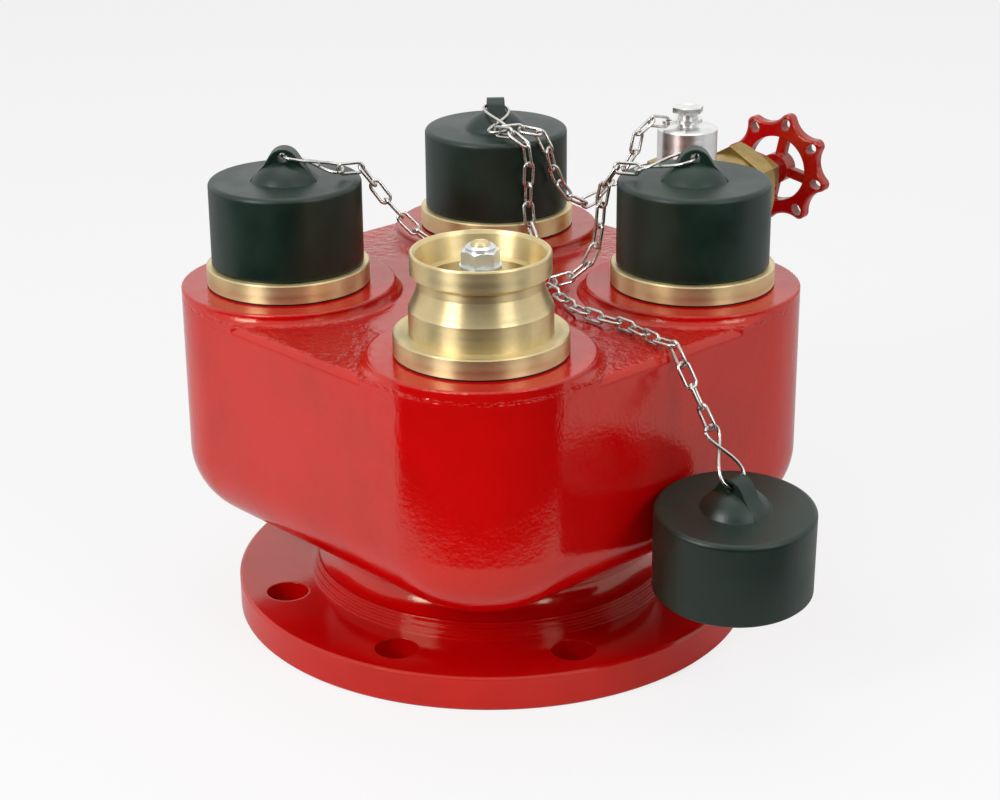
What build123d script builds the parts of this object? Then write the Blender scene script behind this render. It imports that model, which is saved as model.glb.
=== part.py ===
from build123d import *
import os
from math import acos, atan2, ceil, cos, degrees, hypot, pi, radians, sin, sqrt

# Four-way fire-brigade inlet header on a drilled outlet flange.
# Millimetres, +Z up. Origin: centre of the outlet flange's face, on the pipe's axis.

# ---------------------------------------------------------------- driving dimensions
# Outlet flange (DN150, PN16 drilling) and its neck
outlet_bore_dia = 150.0
flange_dia = 285.0
flange_thickness = 19.0
flange_edge_chamfer = 1.2
bolt_circle_dia = 240.0
bolt_hole_dia = 23.0
bolt_count = 8
hub_dia = 204.0
hub_step_height = 3.0
hub_step_width = 1.6
hub_step_count = 3
neck_dia = 177.0
neck_height = 35.5
neck_top_flare = 8.0

# Header casting
inlet_spacing = 154.0
lobe_radius = 58.0
body_height = 123.5
body_wall = 9.0
roof_thickness = 10.0
underside_radius = 38.0
deck_edge_radius = 5.0
pad_height = 6.0
pad_flare = 5.0
foot_sink = 0.1
pad_edge_radius = 1.2
boss_radius = 48.0
boss_depth = 26.0
drain_boss_dia = 48.0
drain_boss_projection = 6.0
drain_boss_height = 124.0

# Male inlets
spigot_dia = 72.0
spigot_depth = 24.0
thread_clearance = 0.1
gasket_thickness = 1.0
gasket_width = 7.4
base_ring_dia = 88.0
base_ring_height = 10.0
barrel_height = 13.0
throat_dia = 63.0
taper_height = 11.0
throat_height = 5.5
nose_dia = 70.0
nose_height = 11.5
nose_lip = 1.6
mouth_depth = 12.5
mouth_taper = 2.4
waterway_dia = 54.0
bridge_hub_dia = 18.0
bridge_height = 8.0
bridge_arm_width = 6.0
bridge_arm_count = 3
bridge_lift = 36.0

# Non-return valves
spindle_dia = 10.0
running_clearance = 0.05
seal_thickness = 3.0
seal_gap = 0.1
clack_dia = 66.0
clack_thickness = 6.0
lock_nut_across_flats = 17.0
lock_nut_height = 7.5
lock_collar_height = 2.5
lock_washer_dia = 21.0
lock_washer_thickness = 2.0
spindle_end = 1.5
nut_below_nose = 7.0
spring_mean_dia = 14.6
spring_wire = 1.8
spring_turns = 4.5

# Rubber caps
cap_wall = 4.7
cap_bore_clearance = 0.3
cap_roof = 4.7
cap_seat_gap = 0.3
cap_edge_radius = 2.6
cap_pocket_dia = 23.0
cap_pocket_depth = 7.0
lug_base_dia = 36.0
lug_dome_height = 10.5
lug_height = 17.0
lug_top_radius = 10.5
lug_thickness = 9.5
lug_hole_dia = 5.4
lug_hole_height = 12.6

# Hanging cap: it leans on the side wall, below the deck's edge
hung_wall_gap = 0.4
hung_offset_y = 1.9
hung_drop = 71.2
hung_lean = 4.4
hung_lean_bearing = -42.7

# Wire and chain
wire_dia = 1.8
wire_sides = 6
link_length = 15.5
link_width = 7.6
link_play = 0.3
loop_play = 0.25
eight_length_lug = 20.0
eight_length_chain = 13.0
eight_width_lug = 14.8
eight_width_chain = 9.4
eight_points = 18
eight_tilt = 14.0
eight_butt_gap = 0.03
ring_radius = 17.0
ring_wire_dia = 2.4
ring_corners = 20
ring_far_height = 4.6
eye_radius = 5.0
eye_wire_dia = 3.5
eye_corners = 14
eye_centre_height = 8.0
eye_shank_dia = 6.0
eye_collar_dia = 13.0
eye_collar_height = 2.0

# Drain valve: elbow, upright globe valve and capped outlet
valve_x = -10.0
valve_wall_distance = 32.0
elbow_bend_radius = 20.0
elbow_dia = 35.0
elbow_collar_dia = 43.0
elbow_socket_height = 15.5
pipe_bore_dia = 23.0
pipe_thread_dia = 33.0
pipe_thread_length = 12.0
globe_dia = 51.0
globe_cavity_dia = 40.0
globe_web = 4.0
seat_bore_dia = 18.0
end_hex_across_flats = 40.0
end_hex_height = 8.0
end_distance = 28.0
neck_outer_dia = 44.0
neck_bore_dia = 34.0
neck_reach = 44.0
stem_bearing = 100.5
bonnet_flange = 5.0
bonnet_hex_across_flats = 46.0
bonnet_hex_length = 16.0
bonnet_shoulder_dia = 41.0
bonnet_dome_length = 14.0
bonnet_thread_dia = 17.0
bonnet_thread_length = 9.0
packing_dia = 13.0
packing_length = 5.0
packing_gap = 0.2
gland_nut_across_flats = 21.0
gland_nut_length = 13.0
stem_dia = 8.0
stem_square = 6.0
disc_dia = 24.0
disc_thickness = 6.0
stem_socket_depth = 3.0
disc_travel = 7.5
wheel_distance = 109.5
wheel_dia = 71.0
wheel_valley_dia = 58.0
wheel_thickness = 8.0
wheel_lobe_count = 8
wheel_lobe_radius = 4.2
wheel_rim_bore_dia = 41.0
wheel_hub_dia = 19.0
wheel_hub_length = 12.0
wheel_spoke_width = 6.0
wheel_spoke_thickness = 5.0
wheel_spoke_count = 4
wheel_hole_radius = 2.9
wheel_hole_length = 1.8
wheel_turn = 12.0
wheel_nut_across_flats = 10.0
wheel_nut_height = 4.0

# Drain outlet's blank cap with its swivel collar
blank_cap_dia = 35.0
blank_cap_height = 20.7
blank_cap_gap = 0.5
blank_cap_roof = 4.0
blank_neck_dia = 11.2
blank_neck_flare = 3.2
blank_neck_height = 9.0
blank_plate_across_flats = 16.0
blank_plate_height = 3.0
collar_dia = 17.0
collar_thickness = 2.0
collar_ear_reach = 12.5
collar_ear_radius = 3.6
collar_ear_hole_dia = 4.0
collar_bearing = 250.0

# ---------------------------------------------------------------- derived positions
half_spacing = inlet_spacing / 2
wall_face = half_spacing + lobe_radius
body_bottom = flange_thickness + neck_height
deck = body_bottom + body_height
pad_top = deck + pad_height
inlet_centres = {
    "front": (half_spacing, -half_spacing),
    "right": (half_spacing, half_spacing),
    "back": (-half_spacing, half_spacing),
    "left": (-half_spacing, -half_spacing),
}

spigot_end = pad_top - spigot_depth
base_ring_bottom = pad_top + gasket_thickness
base_ring_top = base_ring_bottom + base_ring_height
barrel_top = base_ring_top + barrel_height
throat_bottom = barrel_top + taper_height
nose_bottom = throat_bottom + throat_height
nose_top = nose_bottom + nose_height

washer_bottom = nose_top - nut_below_nose - lock_washer_thickness
nut_bottom = washer_bottom + lock_washer_thickness
nut_top = nut_bottom + lock_nut_height
lock_collar_top = nut_top + lock_collar_height
spindle_top = lock_collar_top + spindle_end
seal_top = spigot_end - seal_gap
clack_top = seal_top - seal_thickness
bridge_bottom = spigot_end + bridge_lift
bridge_top = bridge_bottom + bridge_height

cap_bottom = base_ring_top + cap_seat_gap
cap_dia = spigot_dia + 2 * (cap_bore_clearance + cap_wall)
cap_ceiling = nose_top + cap_seat_gap
cap_height = cap_ceiling + cap_roof - cap_bottom

valve_y = wall_face + valve_wall_distance
globe_bottom_end = drain_boss_height + elbow_bend_radius + elbow_socket_height
globe_z = globe_bottom_end + end_distance
bonnet_end = neck_reach + bonnet_flange + bonnet_hex_length + bonnet_dome_length + bonnet_thread_length
stem_direction = Vector(cos(radians(stem_bearing)), sin(radians(stem_bearing)), 0)

link_reach = (link_length - wire_dia) / 2
link_overlap = (wire_dia + link_play) / 2
link_pitch = 2 * (link_reach - link_overlap)


# ---------------------------------------------------------------- helpers
def turned(*edges):
    """A solid of revolution about Z from profile edges drawn as (radius, height)."""
    return revolve(make_face(Plane.XZ * Curve(list(edges))), axis=Axis.Z)


def turned_line(*points):
    """A solid of revolution about Z whose profile is a closed polygon."""
    return turned(Polyline(*points, close=True))


def tube(outer_radius, inner_radius, bottom, top):
    """A plain ring or sleeve standing on the height 'bottom'."""
    return turned_line((inner_radius, bottom), (outer_radius, bottom), (outer_radius, top),
                       (inner_radius, top))


def rod(radius, bottom, top):
    """A round bar along Z between two heights."""
    return Pos(0, 0, bottom) * Cylinder(radius, top - bottom, align=(Align.CENTER, Align.CENTER, Align.MIN))


def hexagon_bar(across_flats, bottom, top):
    """A hexagonal bar along Z between two heights."""
    outline = RegularPolygon(across_flats / 2, 6, major_radius=False)
    return Pos(0, 0, bottom) * extrude(outline, top - bottom)


def square_bar(width, bottom, top):
    """A square bar along Z between two heights."""
    return Pos(0, 0, bottom) * Box(width, width, top - bottom, align=(Align.CENTER, Align.CENTER, Align.MIN))


def round_wire(points, diameter, closed=False, sides=wire_sides, first_side=None):
    """Bent wire: straight prisms, mitred where they meet, along a path of points."""
    path = [Vector(*p) for p in points]
    count = len(path) if closed else len(path) - 1
    runs = [(path[(i + 1) % len(path)] - path[i]).normalized() for i in range(count)]
    side = Vector(*first_side) if first_side else runs[0].cross(Vector(0.31, 0.52, 0.79))
    side = (side - runs[0] * side.dot(runs[0])).normalized()
    rings = []
    for i in range(count):
        before = runs[i - 1] if closed or i else runs[i]
        mitre = (before + runs[i]).normalized()
        across = runs[i].cross(side)
        ring = []
        for k in range(sides):
            angle = 2 * pi * (k + 0.5) / sides
            corner = path[i] + (side * cos(angle) + across * sin(angle)) * (diameter / 2)
            slip = (path[i] - corner).dot(mitre) / runs[i].dot(mitre)
            ring.append(corner + runs[i] * slip)
        rings.append(ring)
        if i + 1 < count:
            axis = runs[i].cross(runs[i + 1])
            if axis.length > 1e-9:
                side = side.rotate(Axis((0, 0, 0), axis), degrees(acos(min(1, runs[i].dot(runs[i + 1])))))
    if closed:
        rings.append(rings[0])
    else:
        last = runs[-1]
        rings.append([c + last * (path[-1] - c).dot(last) for c in rings[-1]])
    faces = []
    for here, there in zip(rings, rings[1:]):
        for k in range(sides):
            j = (k + 1) % sides
            faces.append(Face(Wire.make_polygon([here[k], here[j], there[j], there[k]], close=True)))
    if not closed:
        faces.append(Face(Wire.make_polygon(rings[0], close=True)))
        faces.append(Face(Wire.make_polygon(rings[-1], close=True)))
    return Solid(Shell(faces))


def at_inlets(solid, name):
    """Moves a solid built on the Z axis to one inlet."""
    x, y = inlet_centres[name]
    return Pos(x, y, 0) * solid


# ---------------------------------------------------------------- castings
def outlet_flange():
    """Drilled flange, stepped hub and waisted neck up to the header's underside."""
    bore = outlet_bore_dia / 2
    rim = flange_dia / 2
    points = [(bore, 0), (rim - flange_edge_chamfer, 0), (rim, flange_edge_chamfer)]
    points += [(rim, flange_thickness - flange_edge_chamfer), (rim - flange_edge_chamfer, flange_thickness)]
    radius, height = hub_dia / 2, flange_thickness
    points.append((radius, height))
    for _ in range(hub_step_count):
        height += hub_step_height
        points += [(radius, height), (radius - hub_step_width, height)]
        radius -= hub_step_width
    top = (neck_dia / 2 + neck_top_flare, body_bottom)
    waist = (neck_dia / 2, (height + body_bottom) / 2)
    profile = Polyline(*points) + ThreePointArc(points[-1], waist, top)
    profile += Polyline(top, (bore, body_bottom), (bore, 0))
    flange = revolve(make_face(Plane.XZ * profile), axis=Axis.Z)
    half_step = 180 / bolt_count
    holes = PolarLocations(bolt_circle_dia / 2, bolt_count, start_angle=half_step)
    return flange - holes * rod(bolt_hole_dia / 2, -1, flange_thickness + 1)


def header_outline(inset=0):
    """Square plan with rounded corners that run round the inlets."""
    side = 2 * (wall_face - inset)
    return RectangleRounded(side, side, lobe_radius - inset)


def inlet_pad():
    """Raised round pad of one inlet, flush with the header's rounded corner."""
    edge_start = lobe_radius - pad_edge_radius
    foot = deck - roof_thickness
    outline = Line((0, pad_top), (edge_start, pad_top))
    outline += RadiusArc((edge_start, pad_top), (lobe_radius, pad_top - pad_edge_radius), pad_edge_radius)
    outline += Polyline((lobe_radius, pad_top - pad_edge_radius), (lobe_radius, foot), (0, foot),
                        (0, pad_top))
    return revolve(make_face(Plane.XZ * outline), axis=Axis.Z)


def pad_foot(start_angle):
    """Concave foot between a pad and the deck, round the three quarters that face the deck.

    The arc sinks a little into the wall and the deck, so that it crosses both at a clear angle.
    """
    inside = lobe_radius - 2
    start = (lobe_radius - foot_sink, deck + pad_flare - foot_sink)
    end = (lobe_radius + pad_flare - foot_sink, deck - foot_sink)
    low = deck - deck_edge_radius
    outline = RadiusArc(start, end, -pad_flare)
    outline += Polyline(end, (end[0], low), (inside, low), (inside, start[1]), start)
    return Rot(0, 0, start_angle) * revolve(make_face(Plane.XZ * outline), axis=Axis.Z, revolution_arc=270)


def header_body():
    """Hollow header: walls, dished underside, roof, inlet pads and bosses, drain boss."""
    shell = Pos(0, 0, body_bottom) * extrude(header_outline(), body_height)
    shell = fillet(shell.edges().group_by(Axis.Z)[0], underside_radius)
    shell = fillet(shell.edges().group_by(Axis.Z)[-1], deck_edge_radius)
    body = shell
    inside_walls = 2 * (wall_face - 0.05)
    trim = Pos(0, 0, deck) * Box(inside_walls, inside_walls, 4 * pad_flare)
    for i, name in enumerate(inlet_centres):
        body += at_inlets(pad_foot(90 * i), name) & trim
        body += at_inlets(inlet_pad(), name)
    boss_plane = Plane((valve_x, wall_face - body_wall, drain_boss_height), z_dir=(0, 1, 0))
    body += boss_plane * rod(drain_boss_dia / 2, 0, body_wall + drain_boss_projection)

    cavity_bottom = body_bottom + body_wall
    cavity_top = deck - roof_thickness
    cavity = Pos(0, 0, cavity_bottom) * extrude(header_outline(body_wall), cavity_top - cavity_bottom)
    cavity = fillet(cavity.edges().group_by(Axis.Z)[0], underside_radius - body_wall)
    for name in inlet_centres:
        cavity -= at_inlets(rod(boss_radius, pad_top - boss_depth, pad_top), name)
    body -= cavity
    body -= rod(outlet_bore_dia / 2, body_bottom - 1, cavity_bottom + 1)
    for name in inlet_centres:
        body -= at_inlets(rod(spigot_dia / 2 + thread_clearance, pad_top - boss_depth - 1, pad_top + 1), name)
    tapping = rod(pipe_thread_dia / 2 + thread_clearance, -body_wall, body_wall + drain_boss_projection + 1)
    body -= boss_plane * tapping
    body -= rod(eye_shank_dia / 2 + thread_clearance, cavity_top - 1, deck + 1)
    return body


# ---------------------------------------------------------------- inlets and their valves
def inlet_coupling():
    """Male inlet: threaded spigot, base ring, barrel, throat and nose, with a guide bridge inside."""
    spigot, ring, nose = spigot_dia / 2, base_ring_dia / 2, nose_dia / 2
    throat, water = throat_dia / 2, waterway_dia / 2
    lip_in = nose - nose_lip
    outer = Polyline((water, spigot_end), (spigot, spigot_end), (spigot, base_ring_bottom),
                     (ring, base_ring_bottom), (ring, base_ring_top - 0.6), (ring - 0.6, base_ring_top),
                     (spigot, base_ring_top), (spigot, barrel_top))
    taper = ThreePointArc((spigot, barrel_top), (throat + 1.3, barrel_top + 0.62 * taper_height),
                          (throat, throat_bottom))
    inner = Polyline((throat, throat_bottom), (throat, nose_bottom - 1.5), (nose - 1, nose_bottom),
                     (nose, nose_bottom + 1), (nose, nose_top - 0.8), (nose - 0.5, nose_top),
                     (lip_in, nose_top), (lip_in - 1.2, nose_top - 1.6),
                     (lip_in - mouth_taper - 1.2, nose_top - mouth_depth), (water, nose_top - mouth_depth - 1),
                     (water, spigot_end))
    body = turned(outer, taper, inner)
    reach = water + 1
    arm = Pos(reach / 2, 0, bridge_bottom) * Box(reach, bridge_arm_width, bridge_height,
                                                align=(Align.CENTER, Align.CENTER, Align.MIN))
    body += rod(bridge_hub_dia / 2, bridge_bottom, bridge_top)
    for i in range(bridge_arm_count):
        body += Rot(0, 0, 30 + 360 * i / bridge_arm_count) * arm
    return body - rod(spindle_dia / 2 + running_clearance, bridge_bottom - 1, bridge_top + 1)


def inlet_gasket():
    """Sealing ring between the pad and the inlet's base ring."""
    inner = spigot_dia / 2 + thread_clearance
    return tube(inner + gasket_width, inner, pad_top, base_ring_bottom)


def clack_disc():
    """Non-return valve's disc, dished below, with a hub for the spindle."""
    r = clack_dia / 2
    low = clack_top - clack_thickness
    hub = spindle_dia
    bore = spindle_dia / 2
    return turned_line((bore, clack_top), (r, clack_top), (r, clack_top - clack_thickness / 2),
                       (hub + 6, low), (hub, low - 4), (bore, low - 4))


def clack_seal():
    """Rubber ring that the disc presses against the inlet's lower end."""
    return tube(clack_dia / 2 - 0.4, waterway_dia / 2 - 2, clack_top, seal_top)


def clack_spindle():
    """Spindle of a non-return valve, with a collar on top of its disc."""
    r = spindle_dia / 2
    foot = clack_top - clack_thickness - 4
    return turned_line((0, foot), (r, foot), (r, clack_top), (r + 3, clack_top), (r + 3, clack_top + 3),
                       (r, clack_top + 4), (r, spindle_top - 1), (r - 1, spindle_top), (0, spindle_top))


def lock_nut():
    """Washer and nylon-collared lock nut at the spindle's upper end."""
    bore = spindle_dia / 2
    corner = lock_nut_across_flats / sqrt(3)
    washer = tube(lock_washer_dia / 2, bore, washer_bottom, nut_bottom)
    top_cone = turned_line((0, nut_bottom - 1), (corner - 1.2, nut_bottom - 1),
                           (corner + 0.2, nut_bottom + 0.8), (corner + 0.2, nut_top - 1),
                           (corner - 1.4, nut_top), (corner - 1.4, nut_top + 1), (0, nut_top + 1))
    nut = hexagon_bar(lock_nut_across_flats, nut_bottom, nut_top) & top_cone
    collar_radius = lock_nut_across_flats / 2 - 1
    nut += turned_line((0, nut_top), (collar_radius, nut_top), (collar_radius, lock_collar_top - 1),
                       (collar_radius - 1.2, lock_collar_top), (0, lock_collar_top))
    nut -= rod(bore, nut_bottom - 1, lock_collar_top + 1)
    return washer + nut


def return_spring():
    """Coil spring between the guide bridge and the washer."""
    steps_per_turn = 9
    bottom = bridge_top + spring_wire / 2 + 0.1
    top = washer_bottom - spring_wire / 2 - 0.1
    steps = ceil(spring_turns * steps_per_turn)
    points = []
    for i in range(steps + 1):
        turn = 2 * pi * i / steps_per_turn
        rise = bottom + (top - bottom) * i / steps
        points.append((spring_mean_dia / 2 * cos(turn), spring_mean_dia / 2 * sin(turn), rise))
    return round_wire(points, spring_wire, sides=4)


# ---------------------------------------------------------------- rubber caps
def cap_lug():
    """Domed base crossed by a rounded fin, drilled for the wire link. The fin lies along X."""
    base = lug_base_dia / 2
    dome_radius = (base ** 2 + lug_dome_height ** 2) / (2 * lug_dome_height)
    dome = Pos(0, 0, cap_height + lug_dome_height - dome_radius) * Sphere(dome_radius)
    dome &= rod(base + 1, cap_height - 1, cap_height + lug_height)
    centre = cap_height + lug_height - lug_top_radius
    reach = hypot(base, centre - cap_height)
    lean = atan2(centre - cap_height, base)
    touch = lean + acos(lug_top_radius / reach) - pi
    right = (-lug_top_radius * cos(touch), centre - lug_top_radius * sin(touch))
    left = (-right[0], right[1])
    outline = Polyline(left, (-base, cap_height), (-base, cap_height - 1), (base, cap_height - 1),
                       (base, cap_height), right)
    outline += ThreePointArc(right, (0, cap_height + lug_height), left)
    fin = extrude(Plane.XZ * make_face(outline), lug_thickness / 2, both=True)
    across = Plane((0, 0, cap_height + lug_hole_height), z_dir=(0, 1, 0))
    return dome + fin - across * rod(lug_hole_dia / 2, -lug_thickness, lug_thickness)


def rubber_cap():
    """Blank cap for a male inlet: cup, pocket over the lock nut, lug on top. Its open end is at Z = 0."""
    r = cap_dia / 2
    bore = spigot_dia / 2 + cap_bore_clearance
    ceiling = cap_height - cap_roof
    pocket = cap_pocket_dia / 2
    pocket_top = ceiling + cap_pocket_depth
    outline = Polyline((0, pocket_top), (pocket - 2, pocket_top), (pocket, pocket_top - 2),
                       (pocket, ceiling), (bore, ceiling), (bore, 0), (r - 1, 0), (r, 1),
                       (r, cap_height - cap_edge_radius))
    outline += RadiusArc((r, cap_height - cap_edge_radius), (r - cap_edge_radius, cap_height), -cap_edge_radius)
    outline += Line((r - cap_edge_radius, cap_height), (0, cap_height))
    outline += Line((0, cap_height), (0, pocket_top))
    cup = revolve(make_face(Plane.XZ * outline), axis=Axis.Z)
    core = turned_line((0, ceiling - 1), (pocket, ceiling - 1), (pocket, pocket_top - 2),
                       (pocket - 2, pocket_top), (0, pocket_top))
    return cup + (cap_lug() - core)


# ---------------------------------------------------------------- chain and wire work
def link_path():
    """Centre line of one oval link, long axis along X, as a polygon of eight corners."""
    end = link_reach - (link_width - wire_dia) / 2
    r = (link_width - wire_dia) / 2
    short = r * (sqrt(2) - 1)
    quarter = [(end + r, short), (end + short, r)]
    top = quarter + [(-x, y) for x, y in reversed(quarter)]
    return [(x, y, 0) for x, y in top] + [(x, -y, 0) for x, y in reversed(top)]


def chain(route, first_normal, last_normal):
    """Oval links along a route that runs from contact point to contact point.

    Every other link is turned a quarter turn. The first link's plane is square to first_normal and the
    last one's to last_normal, and what is left of the turn is shared out as a slight twist.
    """
    curve = Spline(*route)
    count = ceil(curve.length / link_pitch)
    step = curve.length / count
    joints = [curve.position_at(i * step, position_mode=PositionMode.LENGTH) for i in range(count + 1)]
    ref = Vector(*first_normal)
    normals = []
    for a, b in zip(joints, joints[1:]):
        along = (b - a).normalized()
        ref = (ref - along * ref.dot(along)).normalized()
        normals.append(ref)
    along = (joints[-1] - joints[-2]).normalized()
    wanted = Vector(*last_normal)
    wanted = (wanted - along * wanted.dot(along)).normalized()
    turned_ref = normals[-1].rotate(Axis((0, 0, 0), along), 90 * ((count - 1) % 2))
    twist = degrees(atan2(turned_ref.cross(wanted).dot(along), turned_ref.dot(wanted)))
    twist = (twist + 90) % 180 - 90
    link = round_wire(link_path(), wire_dia, closed=True, first_side=(0, 0, 1))
    links = []
    for i, (a, b) in enumerate(zip(joints, joints[1:])):
        along = (b - a).normalized()
        turn = 90 * (i % 2) + twist * i / max(1, count - 1)
        normal = normals[i].rotate(Axis((0, 0, 0), along), turn)
        links.append(Plane((a + b) / 2, x_dir=along, z_dir=normal).location * link)
    return Compound(children=links)


def eight_point(turn):
    """Centre line of the twisted figure-eight link. +X is the lug's loop, the crossing is at the origin."""
    along = cos(turn)
    mean, spread = (eight_length_lug + eight_length_chain) / 2, (eight_length_lug - eight_length_chain) / 2
    x = mean * along + spread * along ** 2
    width = (eight_width_lug + eight_width_chain) / 4 + (eight_width_lug - eight_width_chain) / 4 * along
    return Vector(x, width * sin(2 * turn), (wire_dia / 2 + 0.3) * sin(turn))


def eight_link():
    """Figure-eight link bent from one wire whose ends meet on the side of the smaller loop."""
    start = 1.21 * pi + eight_butt_gap
    span = 2 * pi - 2 * eight_butt_gap
    turns = [start + span * i / eight_points for i in range(eight_points + 1)]
    return round_wire([eight_point(t) for t in turns], wire_dia)


def eight_plane(hole, along, normal):
    """Places the figure-eight link: its larger loop ends in the lug's hole, and it runs off along 'along'."""
    along = Vector(*along).normalized()
    origin = Vector(*hole) + along * (eight_length_lug - 0.4 * wire_dia)
    return Plane(origin, x_dir=-along, z_dir=Vector(*normal))


def eight_contact(plane, turn):
    """Where a chain link bears in a loop of the figure-eight link, and the wire's direction there."""
    here = eight_point(turn)
    run = (eight_point(turn + 0.01) - eight_point(turn - 0.01)).normalized()
    loop_centre = Vector(-eight_length_chain * 0.55, 0, 0)
    inward = loop_centre - here
    inward = (inward - run * inward.dot(run)).normalized()
    bearing = here + inward * (link_overlap + loop_play)
    contact = plane.from_local_coords(bearing)
    return contact, plane.from_local_coords(bearing + run) - contact


def level(bearing):
    return Vector(cos(radians(bearing)), sin(radians(bearing)), 0)


# ---------------------------------------------------------------- drain valve
def drain_elbow():
    """Street elbow: threaded end in the header's boss, quarter bend, threaded socket on top."""
    thread, pipe, bore = pipe_thread_dia / 2, elbow_dia / 2, pipe_bore_dia / 2
    face = wall_face + drain_boss_projection
    bend_start = valve_y - elbow_bend_radius
    leg = Plane((valve_x, face, drain_boss_height), z_dir=(0, 1, 0))
    socket_bottom = drain_boss_height + elbow_bend_radius
    centre = Axis((valve_x, bend_start, socket_bottom), (-1, 0, 0))
    section_plane = Plane((valve_x, bend_start, drain_boss_height), z_dir=(0, 1, 0))

    def bend(radius):
        return revolve(section_plane * Circle(radius), axis=centre, revolution_arc=-90)

    collar = leg * rod(elbow_collar_dia / 2, 0, bend_start - face)
    socket = rod(elbow_collar_dia / 2, socket_bottom, globe_bottom_end)
    body = leg * rod(thread, -pipe_thread_length, 0) + collar + bend(pipe) + Pos(valve_x, valve_y, 0) * socket
    body -= leg * rod(bore, -pipe_thread_length - 1, bend_start - face)
    body -= bend(bore)
    inner = rod(bore, socket_bottom, globe_bottom_end + 1)
    inner += rod(thread + thread_clearance, globe_bottom_end - pipe_thread_length - 0.3, globe_bottom_end + 1)
    return body - Pos(valve_x, valve_y, 0) * inner


def valve_place():
    """The globe valve's own frame: Z along the pipe, X along the stem."""
    return Plane((valve_x, valve_y, globe_z), x_dir=stem_direction, z_dir=(0, 0, 1))


def stem_place():
    """The stem's frame: Z outwards along the stem, from the valve's centre."""
    return Plane((valve_x, valve_y, globe_z), x_dir=(0, 0, 1), z_dir=stem_direction)


def drain_valve_body():
    """Globe valve body: ball-shaped chamber, stepped web with the seat, two threaded ends, neck."""
    thread, bore = pipe_thread_dia / 2, pipe_bore_dia / 2
    hex_start = end_distance - end_hex_height
    along_x = Plane((0, 0, 0), x_dir=(0, 0, 1), z_dir=(1, 0, 0))
    body = Sphere(globe_dia / 2)
    for turn in (0, 180):
        end = rod(elbow_dia / 2, 0, hex_start) + hexagon_bar(end_hex_across_flats, hex_start, end_distance)
        body += Rot(0, turn, 0) * (end + rod(thread, end_distance, end_distance + pipe_thread_length))
    body += along_x * rod(neck_outer_dia / 2, 0, neck_reach)
    inside = Sphere(globe_cavity_dia / 2)
    reach = globe_cavity_dia / 2
    web_half = globe_web / 2
    inside -= Box(globe_web, 2 * reach, 2 * disc_dia / 2 + globe_web)
    lower = Pos(reach / 2 + web_half, 0, -disc_dia / 2 - 1) * Box(reach + web_half, 2 * reach, web_half)
    upper = Pos(-reach / 2 - web_half, 0, disc_dia / 2 + 1) * Box(reach + web_half, 2 * reach, web_half)
    inside -= lower + upper
    inside += rod(bore, disc_dia / 2 + 2, end_distance + pipe_thread_length + 1)
    inside += rod(bore, -end_distance - pipe_thread_length - 1, -disc_dia / 2 - 2)
    inside += along_x * rod(seat_bore_dia / 2, -web_half - 1, web_half + 1)
    inside += along_x * rod(disc_dia / 2 + 0.5, web_half, reach)
    inside += along_x * rod(neck_bore_dia / 2, reach - 2, neck_reach + 1)
    return valve_place() * (body - inside)


def drain_bonnet():
    """Screwed bonnet: spigot, hexagon, dome and the thread for the packing nut."""
    spigot = neck_bore_dia / 2 - thread_clearance
    hex_start = neck_reach + bonnet_flange
    hex_end = hex_start + bonnet_hex_length
    dome_end = hex_end + bonnet_dome_length
    thread = bonnet_thread_dia / 2
    shoulder = bonnet_shoulder_dia / 2
    body = rod(spigot, neck_reach - 14, neck_reach) + rod(neck_outer_dia / 2, neck_reach, hex_start)
    corner = bonnet_hex_across_flats / sqrt(3)
    rounding = turned_line((0, hex_start - 1), (corner, hex_start - 1), (corner, hex_end - 3),
                           (corner - 3, hex_end), (0, hex_end))
    body += hexagon_bar(bonnet_hex_across_flats, hex_start, hex_end) & rounding
    dome = Line((0, hex_end), (shoulder, hex_end))
    swell = (0.76 * shoulder, hex_end + 0.55 * bonnet_dome_length)
    dome += ThreePointArc((shoulder, hex_end), swell, (thread + 2, dome_end))
    dome += Polyline((thread + 2, dome_end), (0, dome_end), (0, hex_end))
    body += revolve(make_face(Plane.XZ * dome), axis=Axis.Z)
    body += rod(thread, dome_end, bonnet_end)
    body -= rod(disc_dia / 2 + 0.5, neck_reach - 15, neck_reach + 4)
    body -= rod(stem_dia / 2 + running_clearance, neck_reach, bonnet_end + 1)
    body -= rod(packing_dia / 2, bonnet_end - packing_length, bonnet_end + 1)
    return stem_place() * body


def stem_packing():
    """Packing ring squeezed between the bonnet and its packing nut."""
    ring = tube(packing_dia / 2 - thread_clearance, stem_dia / 2 + running_clearance,
                bonnet_end - packing_length + packing_gap, bonnet_end)
    return stem_place() * ring


def packing_nut():
    """Hexagonal packing nut on the bonnet's thread."""
    start = bonnet_end - bonnet_thread_length + 2
    end = start + gland_nut_length
    corner = gland_nut_across_flats / sqrt(3)
    rounding = turned_line((0, start), (corner, start), (corner, end - 4), (corner - 3, end), (0, end))
    nut = hexagon_bar(gland_nut_across_flats, start, end) & rounding
    nut -= rod(bonnet_thread_dia / 2 + thread_clearance, start - 1, bonnet_end + thread_clearance)
    nut -= rod(stem_dia / 2 + running_clearance, start, end + 1)
    return stem_place() * nut


def drain_disc():
    """Valve disc, shown lifted off its seat, with a socket in which the stem turns."""
    low = globe_web / 2 + disc_travel + seal_gap
    top = low + disc_thickness
    edge_radius = disc_dia / 2 - 0.5
    disc = turned_line((0, low), (edge_radius - 2.5, low), (edge_radius, low + 1.5), (edge_radius, top),
                       (stem_dia, top), (stem_dia, top + 3), (0, top + 3))
    disc -= rod(stem_dia / 2 + running_clearance, top + 3 - stem_socket_depth, top + 4)
    return stem_place() * disc


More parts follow.
